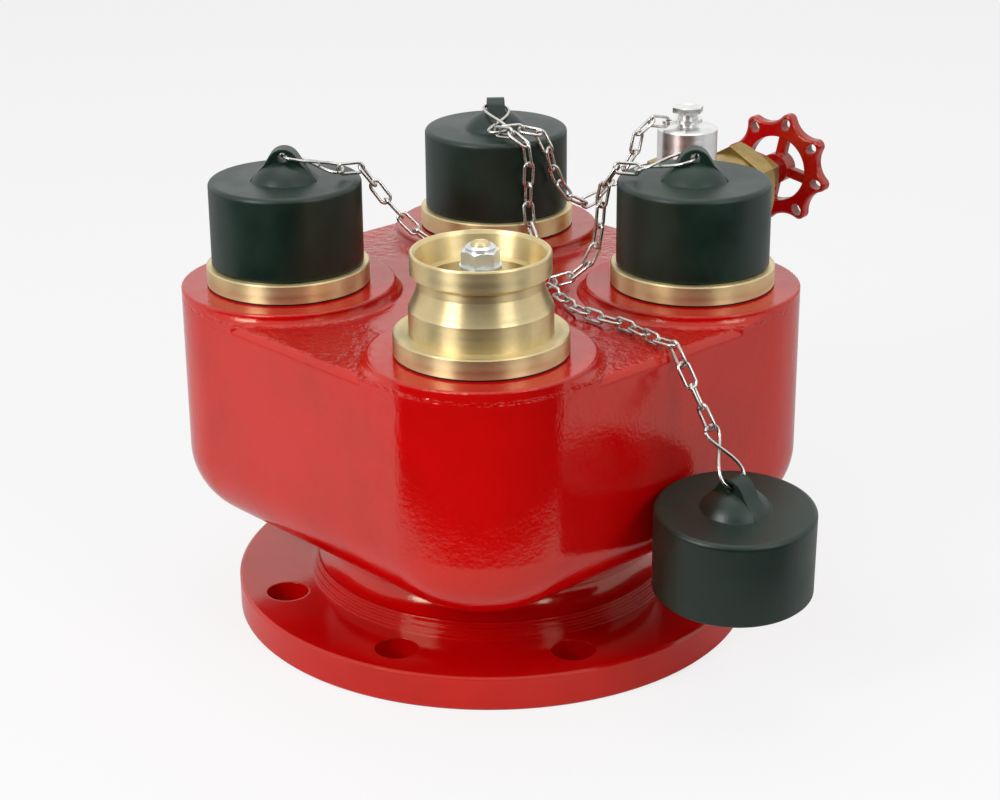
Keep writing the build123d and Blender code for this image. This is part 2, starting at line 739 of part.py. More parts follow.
def drain_stem():
    """Valve stem with a square end for the wheel and a thread for the wheel's nut."""
    foot = globe_web / 2 + disc_travel + seal_gap + disc_thickness + 3 - stem_socket_depth + 0.1
    hub_foot = wheel_distance - wheel_hub_length / 2
    hub_top = wheel_distance + wheel_hub_length / 2
    square = Rot(0, 0, wheel_turn) * square_bar(stem_square - 2 * running_clearance, hub_foot, hub_top - 0.5)
    stem = rod(stem_dia / 2, foot, hub_foot) + square
    stem += rod(stem_square / 2, hub_top - 0.5, hub_top + wheel_nut_height + 1)
    return stem_place() * stem


def wheel_lobe_outline():
    """Scalloped rim: tangent arcs over each lobe and through each valley."""
    tip, valley = wheel_dia / 2, wheel_valley_dia / 2
    outline = Curve()
    half = pi / wheel_lobe_count
    centre = tip - wheel_lobe_radius
    spread = radians(62)
    for i in range(wheel_lobe_count):
        middle = 2 * pi * i / wheel_lobe_count

        def place(x, y, angle=middle):
            return x * cos(angle) - y * sin(angle), x * sin(angle) + y * cos(angle)

        start = place(centre + wheel_lobe_radius * cos(spread), -wheel_lobe_radius * sin(spread))
        end = place(centre + wheel_lobe_radius * cos(spread), wheel_lobe_radius * sin(spread))
        low = (valley * cos(middle + half), valley * sin(middle + half))
        following = place(centre + wheel_lobe_radius * cos(spread), -wheel_lobe_radius * sin(spread),
                          middle + 2 * half)
        outline += ThreePointArc(start, place(tip, 0), end)
        outline += ThreePointArc(end, low, following)
    return make_face(outline)


def handwheel():
    """Cast handwheel: scalloped rim with a slot in each lobe, four spokes, hub with a square hole."""
    rim = extrude(wheel_lobe_outline(), wheel_thickness / 2, both=True)
    rim = chamfer(rim.edges().group_by(Axis.Z)[-1] + rim.edges().group_by(Axis.Z)[0], 1.2)
    rim -= rod(wheel_rim_bore_dia / 2, -wheel_thickness, wheel_thickness)
    slot = SlotCenterToCenter(wheel_hole_length, 2 * wheel_hole_radius)
    slot = extrude(slot, wheel_thickness, both=True)
    radius = wheel_dia / 2 - wheel_lobe_radius - wheel_hole_length - 0.4
    for i in range(wheel_lobe_count):
        rim -= Rot(0, 0, 360 * i / wheel_lobe_count) * Pos(radius, 0, 0) * slot
    hub = rod(wheel_hub_dia / 2, -wheel_hub_length / 2, wheel_hub_length / 2)
    hub = chamfer(hub.edges().group_by(Axis.Z)[-1], 1.5)
    reach = wheel_rim_bore_dia / 2 + 1.5
    inner = wheel_hub_dia / 2 - 2
    spoke = Pos((reach + inner) / 2, 0, 0) * Box(reach - inner, wheel_spoke_width, wheel_spoke_thickness)
    wheel = rim + hub
    for i in range(wheel_spoke_count):
        wheel += Rot(0, 0, 360 * i / wheel_spoke_count) * spoke
    wheel -= square_bar(stem_square, -wheel_hub_length, wheel_hub_length)
    return stem_place() * Pos(0, 0, wheel_distance) * Rot(0, 0, wheel_turn) * wheel


def wheel_nut():
    """Small nut that holds the handwheel on its stem."""
    bottom = wheel_distance + wheel_hub_length / 2
    nut = hexagon_bar(wheel_nut_across_flats, bottom, bottom + wheel_nut_height)
    return stem_place() * (nut - rod(stem_square / 2, bottom - 1, bottom + wheel_nut_height + 1))


def blank_cap_base():
    return globe_z + end_distance + blank_cap_gap


def blank_cap():
    """Plated blank cap: cup over the outlet's thread, waisted neck and a hexagonal plate to turn it."""
    base = blank_cap_base()
    top = base + blank_cap_height
    r = blank_cap_dia / 2
    bore = pipe_thread_dia / 2 + running_clearance
    neck = blank_neck_dia / 2
    neck_top = top + blank_neck_height
    outline = Polyline((0, top - blank_cap_roof), (bore, top - blank_cap_roof), (bore, base), (r, base),
                       (r, top - 0.8), (r - 0.8, top), (neck + blank_neck_flare, top))
    outline += RadiusArc((neck + blank_neck_flare, top), (neck, top + blank_neck_flare), blank_neck_flare)
    outline += Polyline((neck, top + blank_neck_flare), (neck, neck_top - 1.5), (neck + 1.5, neck_top),
                        (0, neck_top), (0, top - blank_cap_roof))
    cap = revolve(make_face(Plane.XZ * outline), axis=Axis.Z)
    cap += hexagon_bar(blank_plate_across_flats, neck_top, neck_top + blank_plate_height)
    return Pos(valve_x, valve_y, 0) * cap


def collar_height():
    """The collar rests where the neck's flare has grown to its bore."""
    return blank_cap_base() + blank_cap_height + blank_neck_flare


def cap_collar():
    """Loose ring round the blank cap's neck, with a drilled ear for the chain."""
    ear = level(collar_bearing) * collar_ear_reach
    low = collar_height()
    ring = rod(collar_dia / 2, low, low + collar_thickness)
    ring += Pos(ear.X, ear.Y, 0) * rod(collar_ear_radius, low, low + collar_thickness)
    middle = level(collar_bearing) * (collar_ear_reach / 2)
    bridge = Box(collar_ear_reach, 2 * collar_ear_radius, collar_thickness)
    ring += Pos(middle.X, middle.Y, low + collar_thickness / 2) * Rot(0, 0, collar_bearing) * bridge
    ring -= rod(blank_neck_dia / 2 + 0.3, low - 1, low + collar_thickness + 1)
    ring -= Pos(ear.X, ear.Y, 0) * rod(collar_ear_hole_dia / 2, low - 1, low + collar_thickness + 1)
    return Pos(valve_x, valve_y, 0) * ring


# ---------------------------------------------------------------- eye bolt, loose ring, chains
diagonal = level(45)
eye_centre = Vector(0, 0, deck + eye_centre_height)
ring_near = eye_centre + diagonal * ((eye_radius - eye_wire_dia / 2) - ring_wire_dia / 2 - 0.2)
ring_drop = eye_centre.Z - deck - ring_far_height
ring_run = diagonal * sqrt((2 * ring_radius) ** 2 - ring_drop ** 2) - Vector(0, 0, ring_drop)
ring_centre = ring_near + ring_run / 2
ring_plane = Plane(ring_centre, x_dir=ring_run, z_dir=ring_run.cross(level(135)))


def eye_bolt():
    """Eye bolt in the middle of the deck."""
    turns = [2 * pi * i / eye_corners for i in range(eye_corners)]
    loop = [(eye_radius * cos(t), eye_radius * sin(t), 0) for t in turns]
    eye = round_wire(loop, eye_wire_dia, closed=True, first_side=(0, 0, 1))
    eye = Plane(eye_centre, x_dir=(0, 0, 1), z_dir=level(135)).location * eye
    shank = rod(eye_shank_dia / 2, deck - roof_thickness - 4, eye_centre.Z - eye_radius)
    collar = rod(eye_collar_dia / 2, deck, deck + eye_collar_height)
    return eye + shank + collar


def loose_ring():
    """Loose ring through the eye bolt; the chains start on it."""
    turns = [2 * pi * (i + 0.5) / ring_corners for i in range(ring_corners)]
    points = [(ring_radius * cos(t), ring_radius * sin(t), 0) for t in turns]
    return ring_plane.location * round_wire(points, ring_wire_dia, closed=True, first_side=(0, 0, 1))


def ring_contact(bearing):
    """Where a chain link bears on the loose ring, and the ring's direction there."""
    angle = radians(bearing)
    inner = ring_radius * cos(pi / ring_corners) - ring_wire_dia / 2 - wire_dia / 2 - link_play + link_overlap
    contact = ring_plane.from_local_coords(Vector(inner * cos(angle), inner * sin(angle), 0))
    run = ring_plane.from_local_coords(Vector(-sin(angle), cos(angle), 0)) - ring_centre
    return contact, run


fin_bearing = {"right": 45, "back": -40, "left": 45}
eight_bearing = {"right": 225, "back": -40, "left": 45}
cap_top = cap_bottom + cap_height
half_link = link_width / 2
lean_way = level(hung_lean_bearing)
hung_axis = lean_way * sin(radians(hung_lean)) + Vector(0, 0, cos(radians(hung_lean)))
hung_top_z = deck - hung_drop
side_end_z = body_bottom + underside_radius
hung_x = wall_face + hung_wall_gap + cap_dia / 2 / sqrt(1 - hung_axis.X ** 2)
hung_x += hung_axis.X / hung_axis.Z * (hung_top_z - side_end_z)
hung_top = Vector(hung_x, hung_offset_y, hung_top_z)
hung_place = Plane(hung_top - hung_axis * cap_height, x_dir=Vector(0, 1, 0).cross(hung_axis), z_dir=hung_axis)


def cap_place(name):
    """Frame of a cap on its inlet: open end at Z = 0, fin along X."""
    x, y = inlet_centres[name]
    return Plane((x, y, cap_bottom), x_dir=level(fin_bearing[name]), z_dir=(0, 0, 1))


def link_at_cap(name):
    """Frame of the figure-eight link of a cap that is on its inlet."""
    place = cap_place(name)
    slope = radians(eight_tilt)
    along = level(eight_bearing[name]) * cos(slope) - Vector(0, 0, sin(slope))
    hole = place.origin + place.z_dir * (cap_height + lug_hole_height)
    return eight_plane(hole, along, along.cross(place.y_dir))


def from_cap(name, bearing, radius, height):
    """A point given by its distance from a cap's axis."""
    x, y = inlet_centres[name]
    return Vector(x, y, height) + level(bearing) * radius


# The chain over the deck's edge turns on this point when the hanging cap swings
edge_joint = Vector(wall_face + 0.6, -0.9, deck + half_link + 1.1)


def hung_link_place():
    """Frame of the hanging cap's figure-eight link, in line with the chain that holds it."""
    hole = hung_top + hung_axis * lug_hole_height
    along = (edge_joint - hole).normalized()
    return eight_plane(hole, along, along.cross(hung_place.y_dir))


lie = deck + half_link + 0.4
over = cap_top + half_link + 2
edge = cap_dia / 2


def chain_left():
    """From the left cap to the loose ring, hanging free across the deck's middle."""
    start, first = ring_contact(150)
    end, last = eight_contact(link_at_cap("left"), pi)
    route = [start, Vector(-13, 5.5, deck + 10), Vector(-18, -8, deck + 19), Vector(-24, -22, deck + 28),
             from_cap("left", 45, 69, deck + 34.5), from_cap("left", 45, 59, deck + 45.5),
             from_cap("left", 45, edge + 7.5, deck + 59), from_cap("left", 45, edge + 2, over - 1.2), end]
    return chain(route, first, last)


def chain_back():
    """From the back cap down its side and across the deck to the loose ring."""
    start, first = ring_contact(60)
    end, last = eight_contact(link_at_cap("back"), pi + 0.14)
    route = [start, Vector(4, 35.5, lie + 0.4), Vector(-5, 45, lie), from_cap("back", -20.5, 67, lie + 0.8),
             from_cap("back", -20.5, 59.5, pad_top + half_link + 0.4),
             from_cap("back", -20.5, 51, pad_top + 9), from_cap("back", -20.5, edge + 7, base_ring_top + 4),
             from_cap("back", -20.5, edge + 5.6, cap_top - 26),
             from_cap("back", -20.5, edge + 5.8, cap_top - 5), from_cap("back", -24, edge + 2, over - 1.2),
             from_cap("back", -30, edge - 2.5, over), end]
    return chain(route, first, last)


def chain_right():
    """From the right cap down past its side to the loose ring."""
    start, first = ring_contact(5)
    end, last = eight_contact(link_at_cap("right"), pi)
    foot = lobe_radius + pad_flare
    route = [start, from_cap("right", 225, foot + 6.5, lie + 0.5), from_cap("right", 225, foot, pad_top + half_link),
             from_cap("right", 225, foot - 6, pad_top + 8.5), from_cap("right", 225, 52.5, base_ring_top + 6),
             from_cap("right", 225, edge + 8.5, cap_top - 20), from_cap("right", 225, edge + 6.5, cap_top - 4),
             from_cap("right", 225, edge + 2, over - 1.2), end]
    return chain(route, first, last)


def chain_deck():
    """From the loose ring over the deck to its edge."""
    start, first = ring_contact(-35)
    across = half_spacing
    points = [(across - 38, 13.5), (across - 28, 9), (across - 12, 4), (across + 2, 3), (across + 15, 4.5),
              (across + 29, 3.5), (across + 44, 0)]
    route = [start] + [Vector(x, y, lie) for x, y in points] + [edge_joint]
    return chain(route, first, (0, 0, 1))


def chain_hung():
    """From the deck's edge down to the hanging cap's figure-eight link."""
    end, last = eight_contact(hung_link_place(), pi)
    start = edge_joint - (end - edge_joint).normalized() * 2 * link_play
    return chain([start, (start + end) / 2, end], (0, 1, 0), last)


def chain_drain():
    """From the blank cap's collar, slack, to the back cap's figure-eight link."""
    out = level(collar_bearing)
    height = collar_height() + collar_thickness / 2
    start = Vector(valve_x, valve_y, height) + out * (collar_ear_reach + link_overlap)
    end, last = eight_contact(link_at_cap("back"), pi - 0.27)
    from_collar = [(-1.6, -6.8, 2.1), (-3.2, -13.8, 1.6), (-4.4, -19.8, -4.9), (-4.6, -21.8, -14.3),
                   (-5.7, -26.3, -21.4)]
    above_pad = [(-12, 15.5, 29), (-14, 24.5, 21.5), (-15.5, 33.5, 17), (-17.5, 43, 20)]
    route = [start] + [start + Vector(*step) for step in from_collar]
    route += [Vector(valve_x + x, wall_face - inward, pad_top + z) for x, inward, z in above_pad]
    route += [from_cap("back", 9.5, edge + 7.4, cap_top - 30), from_cap("back", 0.6, edge + 5.4, cap_top - 15),
              from_cap("back", -5, edge + 5, cap_top - 1), from_cap("back", -8.1, edge + 1.4, over - 0.2),
              from_cap("back", -16.6, edge - 6, over + 0.8), end]
    return chain(route, level(collar_bearing + 90), last)


# ---------------------------------------------------------------- the nodes
nodes = {
    "header_body": header_body(),
    "outlet_flange": outlet_flange(),
    "inlet_gaskets": Compound(children=[at_inlets(inlet_gasket(), name) for name in inlet_centres]),
    "eye_bolt": eye_bolt(),
    "loose_ring": loose_ring(),
    "drain_elbow": drain_elbow(),
    "drain_valve_body": drain_valve_body(),
    "drain_bonnet": drain_bonnet(),
    "drain_packing": stem_packing(),
    "drain_packing_nut": packing_nut(),
    "drain_disc": drain_disc(),
    "drain_stem": drain_stem(),
    "handwheel": handwheel(),
    "handwheel_nut": wheel_nut(),
    "drain_blank_cap": blank_cap(),
    "drain_cap_collar": cap_collar(),
    "cap_hung": hung_place.location * rubber_cap(),
    "link_hung": hung_link_place().location * eight_link(),
    "chain_left": chain_left(),
    "chain_back": chain_back(),
    "chain_right": chain_right(),
    "chain_deck": chain_deck(),
    "chain_hung": chain_hung(),
    "chain_drain": chain_drain(),
}

repeated = {
    "coupling": inlet_coupling(),
    "clack_disc": clack_disc(),
    "clack_seal": clack_seal(),
    "clack_spindle": clack_spindle(),
    "clack_nut": lock_nut(),
    "clack_spring": return_spring(),
}
for piece, solid in repeated.items():
    for name in inlet_centres:
        nodes[f"{piece}_{name}"] = at_inlets(solid, name)

for name in fin_bearing:
    nodes[f"cap_{name}"] = cap_place(name).location * rubber_cap()
    nodes[f"link_{name}"] = link_at_cap(name).location * eight_link()

os.makedirs("parts", exist_ok=True)
for name, solid in nodes.items():
    export_step(solid, f"parts/{name}.step")
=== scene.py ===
"""Four-way fire-brigade inlet header: finishes, wire work, light and camera, laid out as an add-on."""
from math import acos, atan2, cos, hypot, pi, sin

import bmesh
import bpy
import numpy as np
from bpy.props import FloatProperty, FloatVectorProperty, IntProperty, PointerProperty
from mathutils import Matrix, Vector


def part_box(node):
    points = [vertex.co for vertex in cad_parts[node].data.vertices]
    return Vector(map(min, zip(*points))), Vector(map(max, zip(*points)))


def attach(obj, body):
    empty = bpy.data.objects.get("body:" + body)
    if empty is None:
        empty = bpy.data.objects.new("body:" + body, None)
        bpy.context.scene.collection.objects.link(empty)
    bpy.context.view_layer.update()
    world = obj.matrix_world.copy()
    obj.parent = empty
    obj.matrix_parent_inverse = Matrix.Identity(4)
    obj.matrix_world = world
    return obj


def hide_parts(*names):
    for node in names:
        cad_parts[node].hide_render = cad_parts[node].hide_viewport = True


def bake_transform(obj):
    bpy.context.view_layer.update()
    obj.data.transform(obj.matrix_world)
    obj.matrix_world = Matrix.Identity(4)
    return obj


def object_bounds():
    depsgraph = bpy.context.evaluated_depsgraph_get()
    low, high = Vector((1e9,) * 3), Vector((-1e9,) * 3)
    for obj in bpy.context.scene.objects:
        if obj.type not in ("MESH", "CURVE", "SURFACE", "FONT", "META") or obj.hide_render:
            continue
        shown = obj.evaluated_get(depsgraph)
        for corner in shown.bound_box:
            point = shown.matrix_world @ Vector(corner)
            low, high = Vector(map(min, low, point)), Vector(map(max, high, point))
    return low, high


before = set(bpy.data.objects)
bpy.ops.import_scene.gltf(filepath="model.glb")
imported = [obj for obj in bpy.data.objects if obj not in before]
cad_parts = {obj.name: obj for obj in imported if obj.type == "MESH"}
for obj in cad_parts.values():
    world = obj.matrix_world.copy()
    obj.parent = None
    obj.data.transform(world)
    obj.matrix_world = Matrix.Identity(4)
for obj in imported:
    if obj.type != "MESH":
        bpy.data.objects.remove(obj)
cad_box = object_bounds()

bl_info = {
    "name": "Four-way Inlet Header",
    "version": (1, 0, 0),
    "blender": (4, 5, 0),
    "location": "View3D > Sidebar > Inlet Header",
    "description": "Dresses the packed inlet header: enamel, brass, rubber, chains, light and camera",
    "category": "Object",
}

INLETS = ("front", "right", "back", "left")
WHITE = (1.0, 1.0, 1.0, 1.0)
DECK = 0.178                    # the header's flat deck, above the flange's face
DECK_SCARS = (0.078, 0.092)     # the deck's casting marks fade in over this distance from its middle
DRAIN_CHAIN_SPLIT = 0.1         # the drain cap's chain follows the back cap on this side of the Y value


# ---------------------------------------------------------------- settings
def colour(name, description, default):
    return FloatVectorProperty(name=name, description=description, default=default, size=4,
                               min=0.0, max=1.0, subtype="COLOR")


def length(name, description, default):
    return FloatProperty(name=name, description=description, default=default, min=0.0, unit="LENGTH",
                         precision=5)


def share(name, description, default):
    return FloatProperty(name=name, description=description, default=default, min=0.0, max=1.0,
                         subtype="FACTOR")


class EnamelSettings(bpy.types.PropertyGroup):
    red: colour("Header red", "Gloss enamel on the castings", (0.62, 0.0006, 0.0012, 1.0))
    wheel_red: colour("Wheel red", "Darker enamel on the handwheel", (0.50, 0.0006, 0.002, 1.0))
    glint: colour("Glint", "Tint of the light that the enamel mirrors", (1.0, 0.92, 0.70, 1.0))
    gloss: share("Roughness", "Roughness of the enamel", 0.1)
    sand_size: length("Sand grain", "Width of the casting's sand marks under the enamel", 0.0021)
    sand_depth: length("Sand depth", "Depth of the sand marks", 0.00015)
    scar_size: length("Scar size", "Width of the rough casting marks on the deck", 0.005)
    scar_depth: length("Scar depth", "Depth of the rough casting marks on the deck", 0.0018)
    edge: length("Edge", "Radius that the enamel gives to sharp edges", 0.0012)
    swell_depth: length("Swell depth", "Depth of the casting's slow unevenness", 0.0005)


class MetalSettings(bpy.types.PropertyGroup):
    turned: colour("Turned brass", "Machined inlets", (0.80, 0.66, 0.36, 1.0))
    cast: colour("Cast brass", "Valve body and bonnet", (0.46, 0.33, 0.12, 1.0))
    zinc: colour("Zinc", "Nuts and spindle ends", (0.80, 0.85, 0.90, 1.0))
    bright: colour("Bright plate", "Drain outlet's blank cap", (0.86, 0.86, 0.85, 1.0))
    wire: colour("Chain wire", "Zinc-plated chain and links", (0.62, 0.61, 0.57, 1.0))
    tool_pitch: length("Tool pitch", "Spacing of the turning marks", 0.0007)


class RubberSettings(bpy.types.PropertyGroup):
    cap: colour("Cap rubber", "Moulded blank caps", (0.001, 0.014, 0.008, 1.0))
    seal: colour("Seal rubber", "Gaskets and seals", (0.01, 0.01, 0.01, 1.0))
    bloom: share("Bloom", "How much the caps' surface pales in patches", 0.3)
    edge: length("Edge", "Radius of the caps' moulded edges", 0.0012)
    lug_base: length("Lug base", "Half the lug's width at its foot", 0.0155)
    lug_height: length("Lug height", "Height of the lug's top over the cap", 0.0170)
    lug_radius: length("Lug radius", "Radius of the lug's round top", 0.0085)
    lug_thickness: length("Lug thickness", "Thickness of the lug", 0.0098)
    lug_hole: length("Lug hole", "Radius of the hole in the lug", 0.0026)
    lug_hole_height: length("Lug hole height", "Height of the hole over the cap", 0.0126)


class WireSettings(bpy.types.PropertyGroup):
    wire: length("Chain wire", "Diameter of the chain's wire", 0.0018)
    link: length("Link length", "Outside length of one chain link", 0.0155)
    width: length("Link width", "Outside width of one chain link", 0.0076)
    ring: length("Ring radius", "Radius of the loose ring's centre line", 0.017)
    ring_wire: length("Ring wire", "Diameter of the loose ring's wire", 0.0024)
    coil_wire: length("Spring wire", "Diameter of the valve spring's wire", 0.0018)
    coil: length("Spring radius", "Radius of the valve spring's centre line", 0.0073)
    turns: FloatProperty(name="Spring turns", description="Turns of a valve spring", default=4.5, min=1.0)
    sides: IntProperty(name="Wire sides", description="Sides of a wire's round section", default=10, min=5)


class StageSettings(bpy.types.PropertyGroup):
    floor: colour("Floor", "Pale studio floor", (0.9, 0.9, 0.9, 1.0))
    floor_glow: share("Floor glow", "Share of the floor's shade that the camera sees as plain white", 0.8)
    lens: FloatProperty(name="Lens", description="Focal length on a 36 mm sensor", default=80.11, min=20.0)
    tent: FloatProperty(name="Tent", description="Strength of the white tent round the object",
                        default=0.36, min=0.0)
    left_power: FloatProperty(name="Left box", description="Power of the soft box left of the camera",
                              default=10.0, min=0.0, unit="POWER")
    right_power: FloatProperty(name="Right box", description="Power of the soft box right of the camera",
                               default=4.2, min=0.0, unit="POWER")
    top_power: FloatProperty(name="Top box", description="Power of the overhead soft box", default=5.0,
                             min=0.0, unit="POWER")


SETTINGS = {
    "header_enamel": EnamelSettings,
    "header_metal": MetalSettings,
    "header_rubber": RubberSettings,
    "header_wire": WireSettings,
    "header_stage": StageSettings,
}


# ---------------------------------------------------------------- node helpers
def feed(tree, socket, value):
    """Links a socket to another one, or sets it to a plain value."""
    if isinstance(value, bpy.types.NodeSocket):
        tree.links.new(value, socket)
    else:
        socket.default_value = value


def node(tree, kind, inputs=(), **settings):
    """Adds a node, sets its properties, and fills or links its inputs."""
    made = tree.nodes.new(kind)
    for key, value in settings.items():
        setattr(made, key, value)
    for key, value in dict(inputs).items():
        feed(tree, made.inputs[key], value)
    return made


def maths(tree, operation, *values):
    return node(tree, "ShaderNodeMath", dict(enumerate(values)), operation=operation).outputs[0]


def vector_maths(tree, operation, *values):
    made = node(tree, "ShaderNodeVectorMath", dict(enumerate(values)), operation=operation)
    return made.outputs["Value" if operation == "LENGTH" else "Vector"]


def ramp(tree, value, low, high, bottom=0.0, top=1.0):
    made = node(tree, "ShaderNodeMapRange", {"Value": value, "From Min": low, "From Max": high,
                                             "To Min": bottom, "To Max": top})
    return made.outputs["Result"]


def blend_colours(tree, share_of_second, first, second):
    made = node(tree, "ShaderNodeMix", data_type="RGBA")
    for key, value in (("Factor_Float", share_of_second), ("A_Color", first), ("B_Color", second)):
        feed(tree, next(socket for socket in made.inputs if socket.identifier == key), value)
    return next(socket for socket in made.outputs if socket.identifier == "Result_Color")


def new_group(name, inputs, outputs):
    """A shader node group with named sockets: (name, socket type, default) in, (name, type) out."""
    group = bpy.data.node_groups.new(name, "ShaderNodeTree")
    for title, kind, default in inputs:
        socket = group.interface.new_socket(name=title, in_out="INPUT", socket_type=kind)
        if default is not None:
            socket.default_value = default
    for title, kind in outputs:
        group.interface.new_socket(name=title, in_out="OUTPUT", socket_type=kind)
    given = group.nodes.new("NodeGroupInput").outputs
    return group, given, group.nodes.new("NodeGroupOutput").inputs


def use_group(tree, name, **inputs):
    made = tree.nodes.new("ShaderNodeGroup")
    made.node_tree = bpy.data.node_groups[name]
    for key, value in inputs.items():
        feed(tree, made.inputs[key.replace("_", " ")], value)
    return made.outputs


def build_groups():
    """The effects that several finishes share."""
    group, given, result = new_group("Casting Surface", [
        ("Vector", "NodeSocketVector", None), ("Sand Size", "NodeSocketFloat", 0.003),
        ("Sand Depth", "NodeSocketFloat", 0.0001), ("Swell Depth", "NodeSocketFloat", 0.0004),
    ], [("Height", "NodeSocketFloat"), ("Hollows", "NodeSocketFloat")])
    fine = node(group, "ShaderNodeTexNoise", {
        "Vector": given["Vector"], "Detail": 3.0, "Roughness": 0.55,
        "Scale": maths(group, "DIVIDE", 1.0, given["Sand Size"])})
    slow = node(group, "ShaderNodeTexNoise", {"Vector": given["Vector"], "Scale": 42.0, "Detail": 2.0})
    sand = maths(group, "MULTIPLY", fine.outputs[0], given["Sand Depth"])
    swell = maths(group, "MULTIPLY", slow.outputs[0], given["Swell Depth"])
    group.links.new(maths(group, "ADD", sand, swell), result["Height"])
    group.links.new(ramp(group, fine.outputs[0], 0.52, 0.36), result["Hollows"])

    group, given, result = new_group("Turned Surface", [
        ("Vector", "NodeSocketVector", None), ("Centre", "NodeSocketVector", (0.0, 0.0, 0.0)),
        ("Pitch", "NodeSocketFloat", 0.0007), ("Side", "NodeSocketVector", (1.0, 1.0, 1.0)),
    ], [("Height", "NodeSocketFloat"), ("Bands", "NodeSocketFloat"), ("Along", "NodeSocketVector")])
    side = given["Side"]
    apart = vector_maths(group, "MULTIPLY", given["Vector"], side)
    apart = vector_maths(group, "SUBTRACT", apart, given["Centre"])
    flat = vector_maths(group, "MULTIPLY", apart, (1.0, 1.0, 0.0))
    radius = vector_maths(group, "LENGTH", flat)
    outward = vector_maths(group, "MULTIPLY", flat, side)
    around = vector_maths(group, "CROSS_PRODUCT", (0.0, 0.0, 1.0), outward)
    around = node(group, "ShaderNodeVectorTransform", {0: around}, vector_type="VECTOR",
                  convert_from="OBJECT", convert_to="WORLD")
    group.links.new(around.outputs[0], result["Along"])
    split = node(group, "ShaderNodeSeparateXYZ", {0: given["Vector"]})
    place = node(group, "ShaderNodeCombineXYZ", {"X": radius, "Y": split.outputs["Z"], "Z": 0.0})
    marks = node(group, "ShaderNodeTexNoise", {
        "Vector": place.outputs[0], "Detail": 2.0, "Roughness": 0.7,
        "Scale": maths(group, "DIVIDE", 1.0, given["Pitch"])})
    group.links.new(marks.outputs[0], result["Height"])
    bands = node(group, "ShaderNodeTexNoise", {"Vector": place.outputs[0], "Scale": 260.0, "Detail": 3.0})
    group.links.new(bands.outputs[0], result["Bands"])

    group, given, result = new_group("Patchy Tint", [
        ("Vector", "NodeSocketVector", None), ("Base", "NodeSocketColor", (0.5, 0.5, 0.5, 1.0)),
        ("Patches", "NodeSocketColor", (0.5, 0.5, 0.5, 1.0)), ("Scale", "NodeSocketFloat", 30.0),
        ("Amount", "NodeSocketFloat", 0.3),
    ], [("Color", "NodeSocketColor"), ("Mask", "NodeSocketFloat")])
    cloud = node(group, "ShaderNodeTexNoise", {
        "Vector": given["Vector"], "Scale": given["Scale"], "Detail": 5.0, "Roughness": 0.6})
    mask = maths(group, "MULTIPLY", ramp(group, cloud.outputs[0], 0.4, 0.7), given["Amount"])
    group.links.new(blend_colours(group, mask, given["Base"], given["Patches"]), result["Color"])
    group.links.new(mask, result["Mask"])


def new_material(name):
    """A material with one Principled BSDF; returns its tree, the shader and the object coordinates."""
    material = bpy.data.materials.new(name)
    material.use_nodes = True
    tree = material.node_tree
    shader = next(n for n in tree.nodes if n.type == "BSDF_PRINCIPLED")
    place = tree.nodes.new("ShaderNodeTexCoord").outputs["Object"]
    return material, tree, shader, place


def patchy_tint(tree, shader, place, tint, shade, scale, amount, lift=0.0):
    """Colours the shader, with patches in a darker or paler shade of the tint; returns their mask."""
    patches = tuple(min(1.0, c * shade + lift) for c in tint[:3]) + (1.0,)
    made = use_group(tree, "Patchy Tint", Vector=place, Base=tuple(tint), Patches=patches, Scale=scale,
                     Amount=amount)
    tree.links.new(made["Color"], shader.inputs["Base Color"])
    return made["Mask"]


def raise_surface(tree, shader, height, distance=1.0, edge=0.0):
    """Bumps the surface by a height; a given edge width also softens its sharp edges."""
    bump = node(tree, "ShaderNodeBump", {"Height": height, "Distance": distance})
    if edge:
        soft = node(tree, "ShaderNodeBevel", {"Radius": edge}, samples=4)
        tree.links.new(soft.outputs["Normal"], bump.inputs["Normal"])
    tree.links.new(bump.outputs["Normal"], shader.inputs["Normal"])


def enamel(name, tint, sand, swell, roughness, rough_level=None):
    """Gloss enamel over a sand casting, rougher on the flat at rough_level if one is given."""
    look = bpy.context.scene.header_enamel
    material, tree, shader, place = new_material(name)
    cast = use_group(tree, "Casting Surface", Vector=place, Sand_Size=look.sand_size, Sand_Depth=sand,
                     Swell_Depth=swell)
    patchy_tint(tree, shader, place, tint, 0.55, 18.0, 0.35)
    shader.inputs["Roughness"].default_value = roughness
    shader.inputs["IOR"].default_value = 1.6
    shader.inputs["Specular Tint"].default_value = tuple(look.glint)
    height = cast["Height"]
    if rough_level is not None:
        coarse = use_group(tree, "Casting Surface", Vector=place, Sand_Size=look.scar_size,
                           Sand_Depth=look.scar_depth, Swell_Depth=0.0)
        level = node(tree, "ShaderNodeSeparateXYZ", {0: place}).outputs["Z"]
        band, core = 0.0012, 0.0006
        above = ramp(tree, level, rough_level - band, rough_level - core)
        below = ramp(tree, level, rough_level + band, rough_level + core)
        spread = node(tree, "ShaderNodeSeparateXYZ", {0: vector_maths(tree, "ABSOLUTE", place)}).outputs
        outer = ramp(tree, maths(tree, "MAXIMUM", spread["X"], spread["Y"]), *DECK_SCARS)
        where = maths(tree, "MULTIPLY", outer, maths(tree, "MULTIPLY", above, below))
        scars = maths(tree, "SUBTRACT", coarse["Height"], look.scar_depth * 0.5)
        height = maths(tree, "ADD", height, maths(tree, "MULTIPLY", scars, where))
    raise_surface(tree, shader, height, edge=look.edge)
    return material


